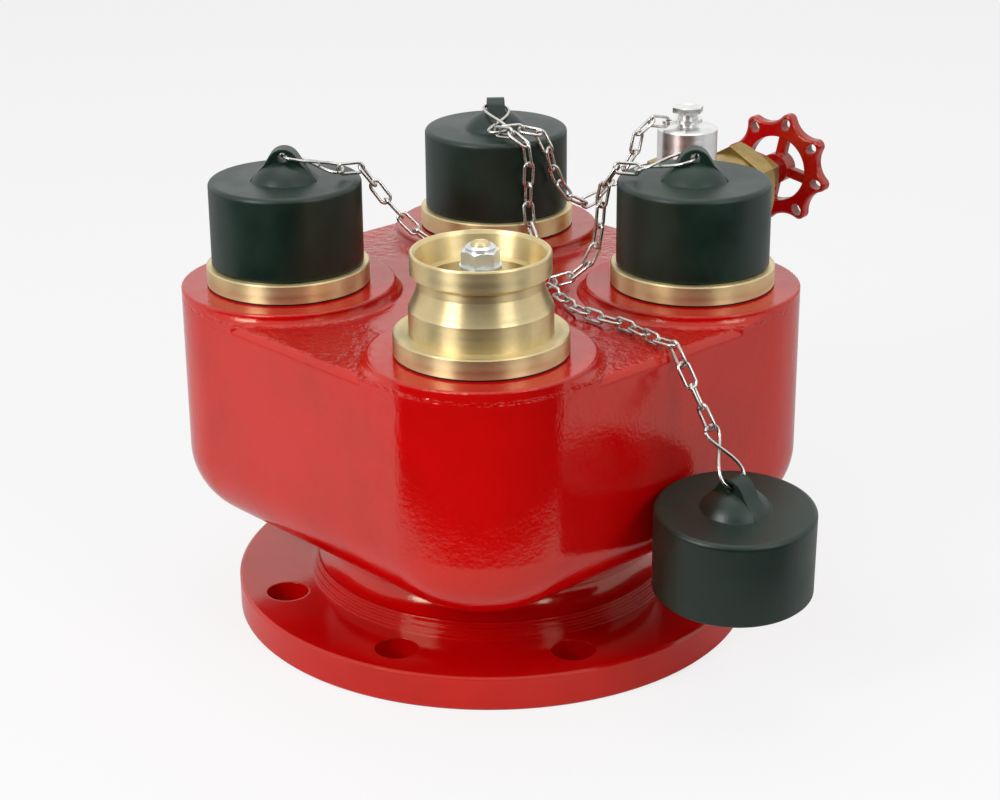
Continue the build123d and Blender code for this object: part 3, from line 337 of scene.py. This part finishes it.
def turned_metal(name, tint, centre, pitch, roughness=0.42, depth=0.000008, mirrored=True):
    """Metal turned on a lathe, with its tool marks in rings round a centre.

    Where it is mirrored, each quarter of the header has a centre of its own.
    """
    material, tree, shader, place = new_material(name)
    side = vector_maths(tree, "SIGN", place) if mirrored else (1.0, 1.0, 1.0)
    rings = use_group(tree, "Turned Surface", Vector=place, Centre=centre, Pitch=pitch, Side=side)
    patchy_tint(tree, shader, place, tint, 0.72, 55.0, 0.5)
    tree.links.new(ramp(tree, rings["Bands"], 0.3, 0.7, roughness - 0.06, roughness + 0.1),
                   shader.inputs["Roughness"])
    shader.inputs["Metallic"].default_value = 1.0
    shader.inputs["Anisotropic"].default_value = 0.9
    shader.inputs["Anisotropic Rotation"].default_value = 0.25
    tree.links.new(rings["Along"], shader.inputs["Tangent"])
    raise_surface(tree, shader, rings["Height"], distance=depth)
    return material


def cast_metal(name, tint, roughness=0.42):
    """Bare cast metal with a fine sand skin."""
    material, tree, shader, place = new_material(name)
    cast = use_group(tree, "Casting Surface", Vector=place, Sand_Size=0.0012, Sand_Depth=0.00008,
                     Swell_Depth=0.0001)
    patchy_tint(tree, shader, place, tint, 0.5, 70.0, 0.7)
    tree.links.new(ramp(tree, cast["Hollows"], 0.0, 1.0, roughness, roughness + 0.2),
                   shader.inputs["Roughness"])
    shader.inputs["Metallic"].default_value = 1.0
    raise_surface(tree, shader, cast["Height"])
    return material


def wire_metal(name, tint):
    """Drawn and plated wire, a little dulled."""
    material, tree, shader, place = new_material(name)
    mask = patchy_tint(tree, shader, place, tint, 0.45, 260.0, 0.5)
    tree.links.new(ramp(tree, mask, 0.0, 0.5, 0.2, 0.42), shader.inputs["Roughness"])
    shader.inputs["Metallic"].default_value = 1.0
    return material


def moulded_rubber(name, tint, bloom):
    """Moulded rubber with a faint pale bloom."""
    material, tree, shader, place = new_material(name)
    mask = patchy_tint(tree, shader, place, tint, 2.6, 26.0, bloom, lift=0.006)
    cast = use_group(tree, "Casting Surface", Vector=place, Sand_Size=0.0009, Sand_Depth=0.00003,
                     Swell_Depth=0.00015)
    tree.links.new(ramp(tree, mask, 0.0, 0.3, 0.36, 0.5), shader.inputs["Roughness"])
    raise_surface(tree, shader, cast["Height"], edge=bpy.context.scene.header_rubber.edge)
    return material


def finish_nodes(material, *names):
    """Gives CAD nodes a material; their shape stays as it is."""
    for name in names:
        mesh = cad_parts[name].data
        mesh.materials.clear()
        mesh.materials.append(material)
        for face in mesh.polygons:
            face.material_index = 0


# ---------------------------------------------------------------- rubber lugs
# Each cap's lug: centre of its hole, the way the hole runs, and the cap's axis.
LUGS = {
    "right": ((0.077, 0.077, 0.2536), (-0.7071, 0.7071, 0.0), (0.0, 0.0, 1.0)),
    "back": ((-0.077, 0.077, 0.2536), (0.6428, 0.7660, 0.0), (0.0, 0.0, 1.0)),
    "left": ((-0.077, -0.077, 0.2536), (-0.7071, 0.7071, 0.0), (0.0, 0.0, 1.0)),
    "hung": ((0.17798, 0.00124, 0.11936), (0.0029, 0.9986, 0.0519), (0.0564, -0.0520, 0.9971)),
}


LUG_SINK = 0.0003               # how far the fin reaches down into its cap


def lug_outline(base, height, radius, below, steps=20):
    """Half-width and height round a lug: straight flanks that run tangent into a round top."""
    centre = height - radius
    touch = acos(radius / hypot(base, centre)) - atan2(centre, base)
    arc = [(radius * cos(a), centre + radius * sin(a))
           for a in (touch + (pi - 2 * touch) * i / steps for i in range(steps + 1))]
    flank = [(base + (arc[0][0] - base) * t, arc[0][1] * t) for t in (0.25, 0.5, 0.75)]
    right = [(base * t, -below) for t in (0.0, 0.34, 0.67, 1.0)] + [(base, 0.0)] + flank
    return right + arc + [(-x, z) for x, z in reversed(right[1:])]


def lug_fin(name, hole, bore, up, look):
    """Rounded fin moulded over a cap's lug, with the hole for its wire link."""
    along = bore.cross(up).normalized()
    outline = lug_outline(look.lug_base, look.lug_height, look.lug_radius, LUG_SINK)
    half = look.lug_thickness / 2
    foot = look.lug_hole_height
    made = bmesh.new()
    rings = []
    for side in (-half, half):
        outer, inner = [], []
        for x, z in outline:
            reach = Vector((x, z - foot))
            rim = reach.normalized() * look.lug_hole
            outer.append(made.verts.new(hole + along * reach.x + up * reach.y + bore * side))
            inner.append(made.verts.new(hole + along * rim.x + up * rim.y + bore * side))
        rings.append((outer, inner))
    (outer_a, inner_a), (outer_b, inner_b) = rings
    count = len(outline)
    for i in range(count):
        j = (i + 1) % count
        for first, second in ((outer_a, inner_a), (inner_a, inner_b), (inner_b, outer_b),
                              (outer_b, outer_a)):
            made.faces.new((first[i], first[j], second[j], second[i]))
    bmesh.ops.recalc_face_normals(made, faces=made.faces)
    mesh = bpy.data.meshes.new(name)
    made.to_mesh(mesh)
    made.free()
    fin = bpy.data.objects.new(name, mesh)
    bpy.context.scene.collection.objects.link(fin)
    return fin


# ---------------------------------------------------------------- wire work
def new_tree(name, floats):
    """A geometry node tree with Geometry, named lengths, Sides and Material inputs."""
    tree = bpy.data.node_groups.new(name, "GeometryNodeTree")
    sockets = [("Geometry", "NodeSocketGeometry")] + [(title, "NodeSocketFloat") for title in floats]
    sockets += [("Sides", "NodeSocketInt"), ("Material", "NodeSocketMaterial")]
    for title, kind in sockets:
        tree.interface.new_socket(name=title, in_out="INPUT", socket_type=kind)
    tree.interface.new_socket(name="Geometry", in_out="OUTPUT", socket_type="NodeSocketGeometry")
    given = tree.nodes.new("NodeGroupInput").outputs
    return tree, given, tree.nodes.new("NodeGroupOutput").inputs


def end_tree(tree, geometry, given, result):
    """Every tree ends in Realize Instances, smooth shading and Set Material."""
    real = node(tree, "GeometryNodeRealizeInstances", {"Geometry": geometry})
    smooth = node(tree, "GeometryNodeSetShadeSmooth", {"Geometry": real.outputs[0]})
    painted = node(tree, "GeometryNodeSetMaterial", {
        "Geometry": smooth.outputs[0], "Material": given["Material"]})
    tree.links.new(painted.outputs[0], result["Geometry"])


def chain_tree():
    """One oval link on each point, lying along its 'along' axis, flat to its 'normal' axis."""
    tree, given, result = new_tree("Chain Links", ("Wire", "Length", "Width"))
    radius = maths(tree, "MULTIPLY", maths(tree, "SUBTRACT", given["Width"], given["Wire"]), 0.5)
    straight = maths(tree, "MULTIPLY", maths(tree, "SUBTRACT", given["Length"], given["Width"]), 0.5)
    circle = node(tree, "GeometryNodeCurvePrimitiveCircle", {"Resolution": 28, "Radius": radius})
    corner = tree.nodes.new("GeometryNodeInputPosition").outputs[0]
    where = node(tree, "ShaderNodeSeparateXYZ", {0: corner})
    slide = maths(tree, "MULTIPLY", maths(tree, "SIGN", where.outputs["X"]), straight)
    offset = node(tree, "ShaderNodeCombineXYZ", {"X": slide})
    oval = node(tree, "GeometryNodeSetPosition", {
        "Geometry": circle.outputs[0], "Offset": offset.outputs[0]})
    section = node(tree, "GeometryNodeCurvePrimitiveCircle", {
        "Resolution": given["Sides"], "Radius": maths(tree, "MULTIPLY", given["Wire"], 0.5)})
    link = node(tree, "GeometryNodeCurveToMesh", {
        "Curve": oval.outputs[0], "Profile Curve": section.outputs[0]})
    along = node(tree, "GeometryNodeInputNamedAttribute", {"Name": "along"}, data_type="FLOAT_VECTOR")
    normal = node(tree, "GeometryNodeInputNamedAttribute", {"Name": "normal"}, data_type="FLOAT_VECTOR")
    turn = node(tree, "FunctionNodeAxesToRotation", {0: along.outputs[0], 1: normal.outputs[0]},
                primary_axis="X", secondary_axis="Z")
    placed = node(tree, "GeometryNodeInstanceOnPoints", {
        "Points": given["Geometry"], "Instance": link.outputs[0], "Rotation": turn.outputs[0]})
    end_tree(tree, placed.outputs[0], given, result)


def wire_tree():
    """Round wire along the edges it is given."""
    tree, given, result = new_tree("Bent Wire", ("Wire",))
    line = node(tree, "GeometryNodeMeshToCurve", {"Mesh": given["Geometry"]})
    section = node(tree, "GeometryNodeCurvePrimitiveCircle", {
        "Resolution": given["Sides"], "Radius": maths(tree, "MULTIPLY", given["Wire"], 0.5)})
    wire = node(tree, "GeometryNodeCurveToMesh", {
        "Curve": line.outputs[0], "Profile Curve": section.outputs[0], "Fill Caps": True})
    end_tree(tree, wire.outputs[0], given, result)


def grow(name, tree_name, guide, **values):
    """Runs a tree on a guide mesh and returns its result, in plated wire, as a plain mesh object."""
    tree = bpy.data.node_groups[tree_name]
    values["Material"] = bpy.data.materials["Plated wire"]
    host = bpy.data.objects.new(name + "_guide", guide)
    bpy.context.scene.collection.objects.link(host)
    grower = host.modifiers.new("grow", "NODES")
    grower.node_group = tree
    for item in tree.interface.items_tree:
        if item.item_type == "SOCKET" and item.in_out == "INPUT" and item.name in values:
            grower[item.identifier] = values[item.name]
    graph = bpy.context.evaluated_depsgraph_get()
    graph.update()
    mesh = bpy.data.meshes.new_from_object(host.evaluated_get(graph))
    host.modifiers.remove(grower)
    bpy.data.objects.remove(host)
    if len(mesh.polygons) == 0:
        raise RuntimeError(f"{name}: the tree {tree.name} made no faces")
    mesh.name = name
    piece = bpy.data.objects.new(name, mesh)
    bpy.context.scene.collection.objects.link(piece)
    return piece


def bend_wire(name, points, thickness, sides, closed=False):
    """Round wire along a line of points."""
    mesh = bpy.data.meshes.new(name + "_line")
    edges = [(i, i + 1) for i in range(len(points) - 1)]
    if closed:
        edges.append((len(points) - 1, 0))
    mesh.from_pydata([tuple(p) for p in points], edges, [])
    return grow(name, "Bent Wire", mesh, Wire=thickness, Sides=sides)


def solids_of(name):
    """The corner points of each separate solid in a CAD node."""
    work = bmesh.new()
    work.from_mesh(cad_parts[name].data)
    bmesh.ops.remove_doubles(work, verts=work.verts, dist=1e-6)
    left, parts = set(work.verts), []
    while left:
        front = [left.pop()]
        part = []
        while front:
            vert = front.pop()
            part.append(tuple(vert.co))
            for edge in vert.link_edges:
                other = edge.other_vert(vert)
                if other in left:
                    left.remove(other)
                    front.append(other)
        parts.append(np.array(part))
    work.free()
    return parts


def axes_of(points):
    """A flat piece's centre, its long axis and the axis it is flat to."""
    centre = points.mean(0)
    spread, directions = np.linalg.eigh(np.cov((points - centre).T))
    return Vector(centre), Vector(directions[:, 2]), Vector(directions[:, 0])


def links_mesh(name, frames):
    """One point for each chain link, with its axes as attributes."""
    mesh = bpy.data.meshes.new(name)
    mesh.from_pydata([tuple(centre) for centre, _, _ in frames], [], [])
    for title, column in (("along", 1), ("normal", 2)):
        layer = mesh.attributes.new(title, "FLOAT_VECTOR", "POINT")
        layer.data.foreach_set("vector", np.array([f[column] for f in frames], np.float32).ravel())
    return mesh


# ---------------------------------------------------------------- operators
class HEADER_OT_castings(bpy.types.Operator):
    """Gloss red enamel on the header, its flange and the drain elbow"""
    bl_idname = "header.castings"
    bl_label = "Enamelled castings"

    def execute(self, context):
        look = context.scene.header_enamel
        body = enamel("Red enamel over sand casting", look.red, look.sand_depth, look.swell_depth,
                      look.gloss, rough_level=DECK)
        finish_nodes(body, "header_body")
        smooth = enamel("Red enamel over turned iron", look.red, look.sand_depth * 0.4,
                        look.swell_depth * 0.25, look.gloss)
        finish_nodes(smooth, "outlet_flange", "drain_elbow")
        return {"FINISHED"}


class HEADER_OT_inlets(bpy.types.Operator):
    """Turned brass inlets with their valves, nuts and gaskets"""
    bl_idname = "header.inlets"
    bl_label = "Inlets and non-return valves"

    def execute(self, context):
        metal = context.scene.header_metal
        rubber = context.scene.header_rubber
        low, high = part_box("coupling_right")
        centre = ((low.x + high.x) / 2, (low.y + high.y) / 2, 0.0)
        brass = turned_metal("Turned brass", metal.turned, centre, metal.tool_pitch)
        zinc = turned_metal("Zinc plate", metal.zinc, centre, metal.tool_pitch, roughness=0.3)
        seal = moulded_rubber("Seal rubber", rubber.seal, 0.1)
        for name in INLETS:
            finish_nodes(brass, f"coupling_{name}", f"clack_disc_{name}", f"clack_spindle_{name}")
            finish_nodes(zinc, f"clack_nut_{name}")
            finish_nodes(seal, f"clack_seal_{name}")
        finish_nodes(seal, "inlet_gaskets")
        return {"FINISHED"}


class HEADER_OT_springs(bpy.types.Operator):
    """Coil springs of the non-return valves"""
    bl_idname = "header.springs"
    bl_label = "Valve springs"

    def execute(self, context):
        wire = context.scene.header_wire
        steps = 120
        for name in INLETS:
            low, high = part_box(f"clack_spring_{name}")
            middle = (low + high) / 2
            bottom, top = low.z + wire.coil_wire / 2, high.z - wire.coil_wire / 2
            x, y = round(middle.x, 3), round(middle.y, 3)
            points = []
            for i in range(steps + 1):
                turn = 2 * pi * wire.turns * i / steps
                points.append((x + wire.coil * cos(turn), y + wire.coil * sin(turn),
                               bottom + (top - bottom) * i / steps))
            coil = bend_wire(f"spring_coil_{name}", points, wire.coil_wire, 8)
            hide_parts(f"clack_spring_{name}")
            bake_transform(coil)
        return {"FINISHED"}


class HEADER_OT_caps(bpy.types.Operator):
    """Moulded rubber caps"""
    bl_idname = "header.caps"
    bl_label = "Rubber caps"

    def execute(self, context):
        rubber = context.scene.header_rubber
        skin = moulded_rubber("Cap rubber", rubber.cap, rubber.bloom)
        for name, (hole, bore, up) in LUGS.items():
            finish_nodes(skin, f"cap_{name}")
            fin = lug_fin(f"lug_{name}", Vector(hole), Vector(bore), Vector(up), rubber)
            fin.data.materials.append(skin)
            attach(fin, "hung_cap" if name == "hung" else f"cap_{name}")
        return {"FINISHED"}


class HEADER_OT_wire_stock(bpy.types.Operator):
    """The plated wire and the trees that shape it"""
    bl_idname = "header.wire_stock"
    bl_label = "Wire stock"

    def execute(self, context):
        wire_metal("Plated wire", context.scene.header_metal.wire)
        chain_tree()
        wire_tree()
        return {"FINISHED"}


class HEADER_OT_chains(bpy.types.Operator):
    """Oval-link chains from the loose ring to the caps"""
    bl_idname = "header.chains"
    bl_label = "Chains"

    def execute(self, context):
        wire = context.scene.header_wire
        frames = {name: [axes_of(part) for part in solids_of(f"chain_{name}")]
                  for name in ("left", "back", "right", "deck", "hung", "drain")}
        near_cap = [f for f in frames["drain"] if f[0].y > DRAIN_CHAIN_SPLIT]
        far_from_cap = [f for f in frames["drain"] if f[0].y <= DRAIN_CHAIN_SPLIT]
        routes = {
            "deck_chain": ("chain_deck", frames["deck"], "header", None),
            "hanging_chain": ("chain_hung", frames["hung"], "hung_cap", None),
            "left_cap_chain": ("chain_left", frames["left"], "header", "cap_left"),
            "back_cap_chain": ("chain_back", frames["back"], "header", "cap_back"),
            "right_cap_chain": ("chain_right", frames["right"], "header", "cap_right"),
            "drain_chain_near": ("chain_drain", near_cap, "header", "blank_cap_ring"),
            "drain_chain_far": ("chain_drain", far_from_cap, "header", "cap_back"),
        }
        for name, (stands_for, links, body, other) in routes.items():
            piece = grow(name, "Chain Links", links_mesh(name, links), Wire=wire.wire,
                         Length=wire.link, Width=wire.width, Sides=wire.sides)
            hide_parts(stands_for)
            if other is None:
                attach(piece, body)
                continue
            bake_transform(piece)
        return {"FINISHED"}


class HEADER_OT_cap_links(bpy.types.Operator):
    """Twisted figure-eight wire links in the caps' lugs"""
    bl_idname = "header.cap_links"
    bl_label = "Cap links"

    def execute(self, context):
        wire = context.scene.header_wire
        bodies = {"right": "cap_right", "back": "cap_back", "left": "cap_left", "hung": "hung_cap"}
        # The line of the eight: the lug's eye is longer and wider than the chain's, one wire steps over the
        # other where they cross, and the wire's two ends stand a gap apart.
        lug_eye, eye, eye_more = 0.020, 0.0165, 0.0035
        width, width_more, step = 0.00605, 0.00135, 0.0012
        start, gap, count = 1.21 * pi, 0.04, 72
        for name, body in bodies.items():
            points = solids_of(f"link_{name}")[0]
            middle, along, normal = axes_of(points)
            low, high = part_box(f"cap_{name}")
            if along.dot((low + high) / 2 - middle) < 0:
                along = -along
            across = normal.cross(along)
            reach = [(Vector(p) - middle).dot(along) for p in points]
            crossing = middle + along * (max(reach) - lug_eye - wire.wire / 2)
            line = []
            for i in range(count + 1):
                turn = start + gap + 2 * (pi - gap) * i / count
                x = eye * cos(turn) + eye_more * cos(turn) ** 2
                y = (width + width_more * cos(turn)) * sin(2 * turn)
                line.append(crossing + along * x + across * y + normal * step * sin(turn))
            piece = bend_wire(f"eight_link_{name}", line, wire.wire, wire.sides)
            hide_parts(f"link_{name}")
            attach(piece, body)
        return {"FINISHED"}


class HEADER_OT_eye_and_ring(bpy.types.Operator):
    """Eye bolt in the deck and the loose ring through it"""
    bl_idname = "header.eye_and_ring"
    bl_label = "Eye bolt and ring"

    def execute(self, context):
        wire = context.scene.header_wire
        finish_nodes(bpy.data.materials["Plated wire"], "eye_bolt")
        middle, along, normal = axes_of(solids_of("loose_ring")[0])
        across = normal.cross(along)
        count = 96
        line = [middle + (along * cos(turn) + across * sin(turn)) * wire.ring
                for turn in (2 * pi * i / count for i in range(count))]
        ring = bend_wire("loose_ring_wire", line, wire.ring_wire, wire.sides, closed=True)
        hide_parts("loose_ring")
        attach(ring, "header")
        return {"FINISHED"}


class HEADER_OT_drain_valve(bpy.types.Operator):
    """Cast brass drain valve with its stem and packing nut"""
    bl_idname = "header.drain_valve"
    bl_label = "Drain valve"

    def execute(self, context):
        metal = context.scene.header_metal
        brass = cast_metal("Cast brass", metal.cast)
        finish_nodes(brass, "drain_valve_body", "drain_bonnet", "drain_packing_nut", "drain_disc")
        finish_nodes(bpy.data.materials["Zinc plate"], "drain_stem")
        finish_nodes(bpy.data.materials["Seal rubber"], "drain_packing")
        return {"FINISHED"}


class HEADER_OT_handwheel(bpy.types.Operator):
    """Scalloped handwheel in darker enamel, with its nut"""
    bl_idname = "header.handwheel"
    bl_label = "Handwheel"

    def execute(self, context):
        look = context.scene.header_enamel
        red = enamel("Wheel enamel", look.wheel_red, look.sand_depth, look.swell_depth * 0.3, 0.12)
        finish_nodes(red, "handwheel")
        finish_nodes(bpy.data.materials["Zinc plate"], "handwheel_nut")
        return {"FINISHED"}


class HEADER_OT_blank_cap(bpy.types.Operator):
    """Bright plated blank cap with its chain collar"""
    bl_idname = "header.blank_cap"
    bl_label = "Drain blank cap"

    def execute(self, context):
        metal = context.scene.header_metal
        low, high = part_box("drain_blank_cap")
        centre = ((low.x + high.x) / 2, (low.y + high.y) / 2, 0.0)
        bright = turned_metal("Bright plate", metal.bright, centre, metal.tool_pitch, roughness=0.3,
                              mirrored=False)
        finish_nodes(bright, "drain_blank_cap", "drain_cap_collar")
        return {"FINISHED"}


def soft_box(name, place, aim, width, height, power):
    """A rectangular lamp that faces a point."""
    lamp = bpy.data.lights.new(name, "AREA")
    lamp.shape = "RECTANGLE"
    lamp.size, lamp.size_y, lamp.energy = width, height, power
    box = bpy.data.objects.new(name, lamp)
    bpy.context.scene.collection.objects.link(box)
    turn = (Vector(place) - Vector(aim)).to_track_quat("Z", "Y")
    box.matrix_world = Matrix.Translation(place) @ turn.to_matrix().to_4x4()


def dark_card(floor_z):
    """A black card in front of the object: flat on the floor, then upright at its far edge.

    Its near edge is a straight line with a round bay cut out around the object. Only reflections see
    it, as the dark room behind a camera.
    """
    ahead, across = Vector((0.677, -0.736, 0.0)), Vector((0.736, 0.677, 0.0))
    near, far, bay, half_width, height = 0.165, 1.7, 0.345, 2.0, 1.1
    rise = Vector((0.0, 0.0, floor_z))
    turn = acos(near / bay)
    steps = 24
    arc = [(ahead * cos(a) + across * sin(a)) * bay
           for a in (turn * (2 * i / steps - 1) for i in range(steps + 1))]
    edge = [ahead * near - across * half_width] + arc + [ahead * near + across * half_width]
    points, faces = [], []
    for place in edge:
        back = across * place.dot(across) + ahead * far
        points += [place + rise, back + rise, back + rise + Vector((0.0, 0.0, height))]
    for i in range(len(edge) - 1):
        first, second = 3 * i, 3 * i + 3
        faces += [(first, first + 1, second + 1, second),
                  (first + 1, first + 2, second + 2, second + 1)]
    mesh = bpy.data.meshes.new("dark_card")
    mesh.from_pydata(points, [], faces)
    card = bpy.data.objects.new("dark_card", mesh)
    bpy.context.scene.collection.objects.link(card)
    card.visible_camera = card.visible_diffuse = card.visible_shadow = False
    card.visible_transmission = False
    return card


class HEADER_OT_stage(bpy.types.Operator):
    """Pale floor, white tent light, soft boxes and the camera"""
    bl_idname = "header.stage"
    bl_label = "Stage"

    def execute(self, context):
        scene = context.scene
        stage = scene.header_stage
        scene.view_settings.view_transform = "Standard"

        world = bpy.data.worlds.new("White tent")
        scene.world = world
        world.use_nodes = True
        tree = world.node_tree
        tree.nodes.clear()
        rays = tree.nodes.new("ShaderNodeLightPath")
        seen = maths(tree, "MAXIMUM", rays.outputs["Is Camera Ray"], rays.outputs["Is Transmission Ray"])
        seen = maths(tree, "MAXIMUM", seen, rays.outputs["Is Glossy Ray"])
        glow = node(tree, "ShaderNodeBackground", {"Color": WHITE, "Strength": stage.tent})
        white = node(tree, "ShaderNodeBackground", {"Color": WHITE, "Strength": 1.0})
        either = node(tree, "ShaderNodeMixShader", {0: seen, 1: glow.outputs[0], 2: white.outputs[0]})
        out = tree.nodes.new("ShaderNodeOutputWorld")
        tree.links.new(either.outputs[0], out.inputs["Surface"])

        mesh = bpy.data.meshes.new("studio_floor")
        edge = 6.0
        mesh.from_pydata([(-edge, -edge, 0), (edge, -edge, 0), (edge, edge, 0), (-edge, edge, 0)], [],
                         [(0, 1, 2, 3)])
        floor = bpy.data.objects.new("studio_floor", mesh)
        floor.location.z = cad_box[0][2] - 0.0002
        scene.collection.objects.link(floor)
        material = bpy.data.materials.new("Pale floor")
        material.use_nodes = True
        tree = material.node_tree
        tree.nodes.clear()
        rays = tree.nodes.new("ShaderNodeLightPath")
        matt = node(tree, "ShaderNodeBsdfDiffuse", {"Color": tuple(stage.floor)})
        glow = node(tree, "ShaderNodeEmission", {"Color": WHITE, "Strength": 1.0})
        seen = maths(tree, "MULTIPLY", rays.outputs["Is Camera Ray"], stage.floor_glow)
        both = node(tree, "ShaderNodeMixShader", {0: seen, 1: matt.outputs[0], 2: glow.outputs[0]})
        out = tree.nodes.new("ShaderNodeOutputMaterial")
        tree.links.new(both.outputs[0], out.inputs["Surface"])
        mesh.materials.append(material)

        black, tree, shader, place = new_material("Black card")
        shader.inputs["Base Color"].default_value = (0.004, 0.004, 0.004, 1.0)
        shader.inputs["Roughness"].default_value = 1.0
        shader.inputs["Specular IOR Level"].default_value = 0.0
        card = dark_card(floor.location.z + 0.001)
        card.data.materials.append(black)

        for name, place, width, power in (
                ("Left soft box", (0.0, -1.3, 0.9), 0.55, stage.left_power),
                ("Right soft box", (1.3, 0.0, 0.9), 0.55, stage.right_power),
                ("Top soft box", (-0.2, 0.2, 1.6), 1.2, stage.top_power)):
            soft_box(name, place, (0.0, 0.0, 0.12), width, width, power)

        camera = bpy.data.objects.new("camera", bpy.data.cameras.new("camera"))
        scene.collection.objects.link(camera)
        camera.data.lens = stage.lens
        camera.data.sensor_width = 36.0
        camera.data.shift_x = 0.0094
        camera.data.shift_y = -0.0090
        camera.data.clip_start = 0.05
        side = (0.6806, 0.7327, -0.0093)
        rise = (-0.2609, 0.2541, 0.9314)
        away = (0.6848, -0.6314, 0.3641)
        turn = Matrix((side, rise, away)).transposed().to_4x4()
        camera.matrix_world = Matrix.Translation((0.8391, -0.7739, 0.5661)) @ turn
        scene.camera = camera
        return {"FINISHED"}


OPERATORS = (
    HEADER_OT_stage, HEADER_OT_castings, HEADER_OT_inlets, HEADER_OT_wire_stock, HEADER_OT_springs,
    HEADER_OT_caps, HEADER_OT_chains, HEADER_OT_cap_links, HEADER_OT_eye_and_ring, HEADER_OT_drain_valve,
    HEADER_OT_handwheel, HEADER_OT_blank_cap,
)


class HEADER_PT_panel(bpy.types.Panel):
    """Lists the pieces and their settings"""
    bl_idname = "HEADER_PT_panel"
    bl_label = "Inlet Header"
    bl_space_type = "VIEW_3D"
    bl_region_type = "UI"
    bl_category = "Inlet Header"

    def draw(self, context):
        for operator in OPERATORS:
            self.layout.operator(operator.bl_idname)
        for title, group in SETTINGS.items():
            box = self.layout.box()
            for name in group.__annotations__:
                box.prop(getattr(context.scene, title), name)


CLASSES = tuple(SETTINGS.values()) + OPERATORS + (HEADER_PT_panel,)


def register():
    for item in CLASSES:
        bpy.utils.register_class(item)
    for title, group in SETTINGS.items():
        setattr(bpy.types.Scene, title, PointerProperty(type=group))


def unregister():
    for title in SETTINGS:
        delattr(bpy.types.Scene, title)
    for item in reversed(CLASSES):
        bpy.utils.unregister_class(item)


def main():
    register()
    build_groups()
    for operator in OPERATORS:
        group, name = operator.bl_idname.split(".")
        if getattr(getattr(bpy.ops, group), name)() != {"FINISHED"}:
            raise RuntimeError(f"{operator.bl_idname} did not finish")


if __name__ == "__main__":
    main()
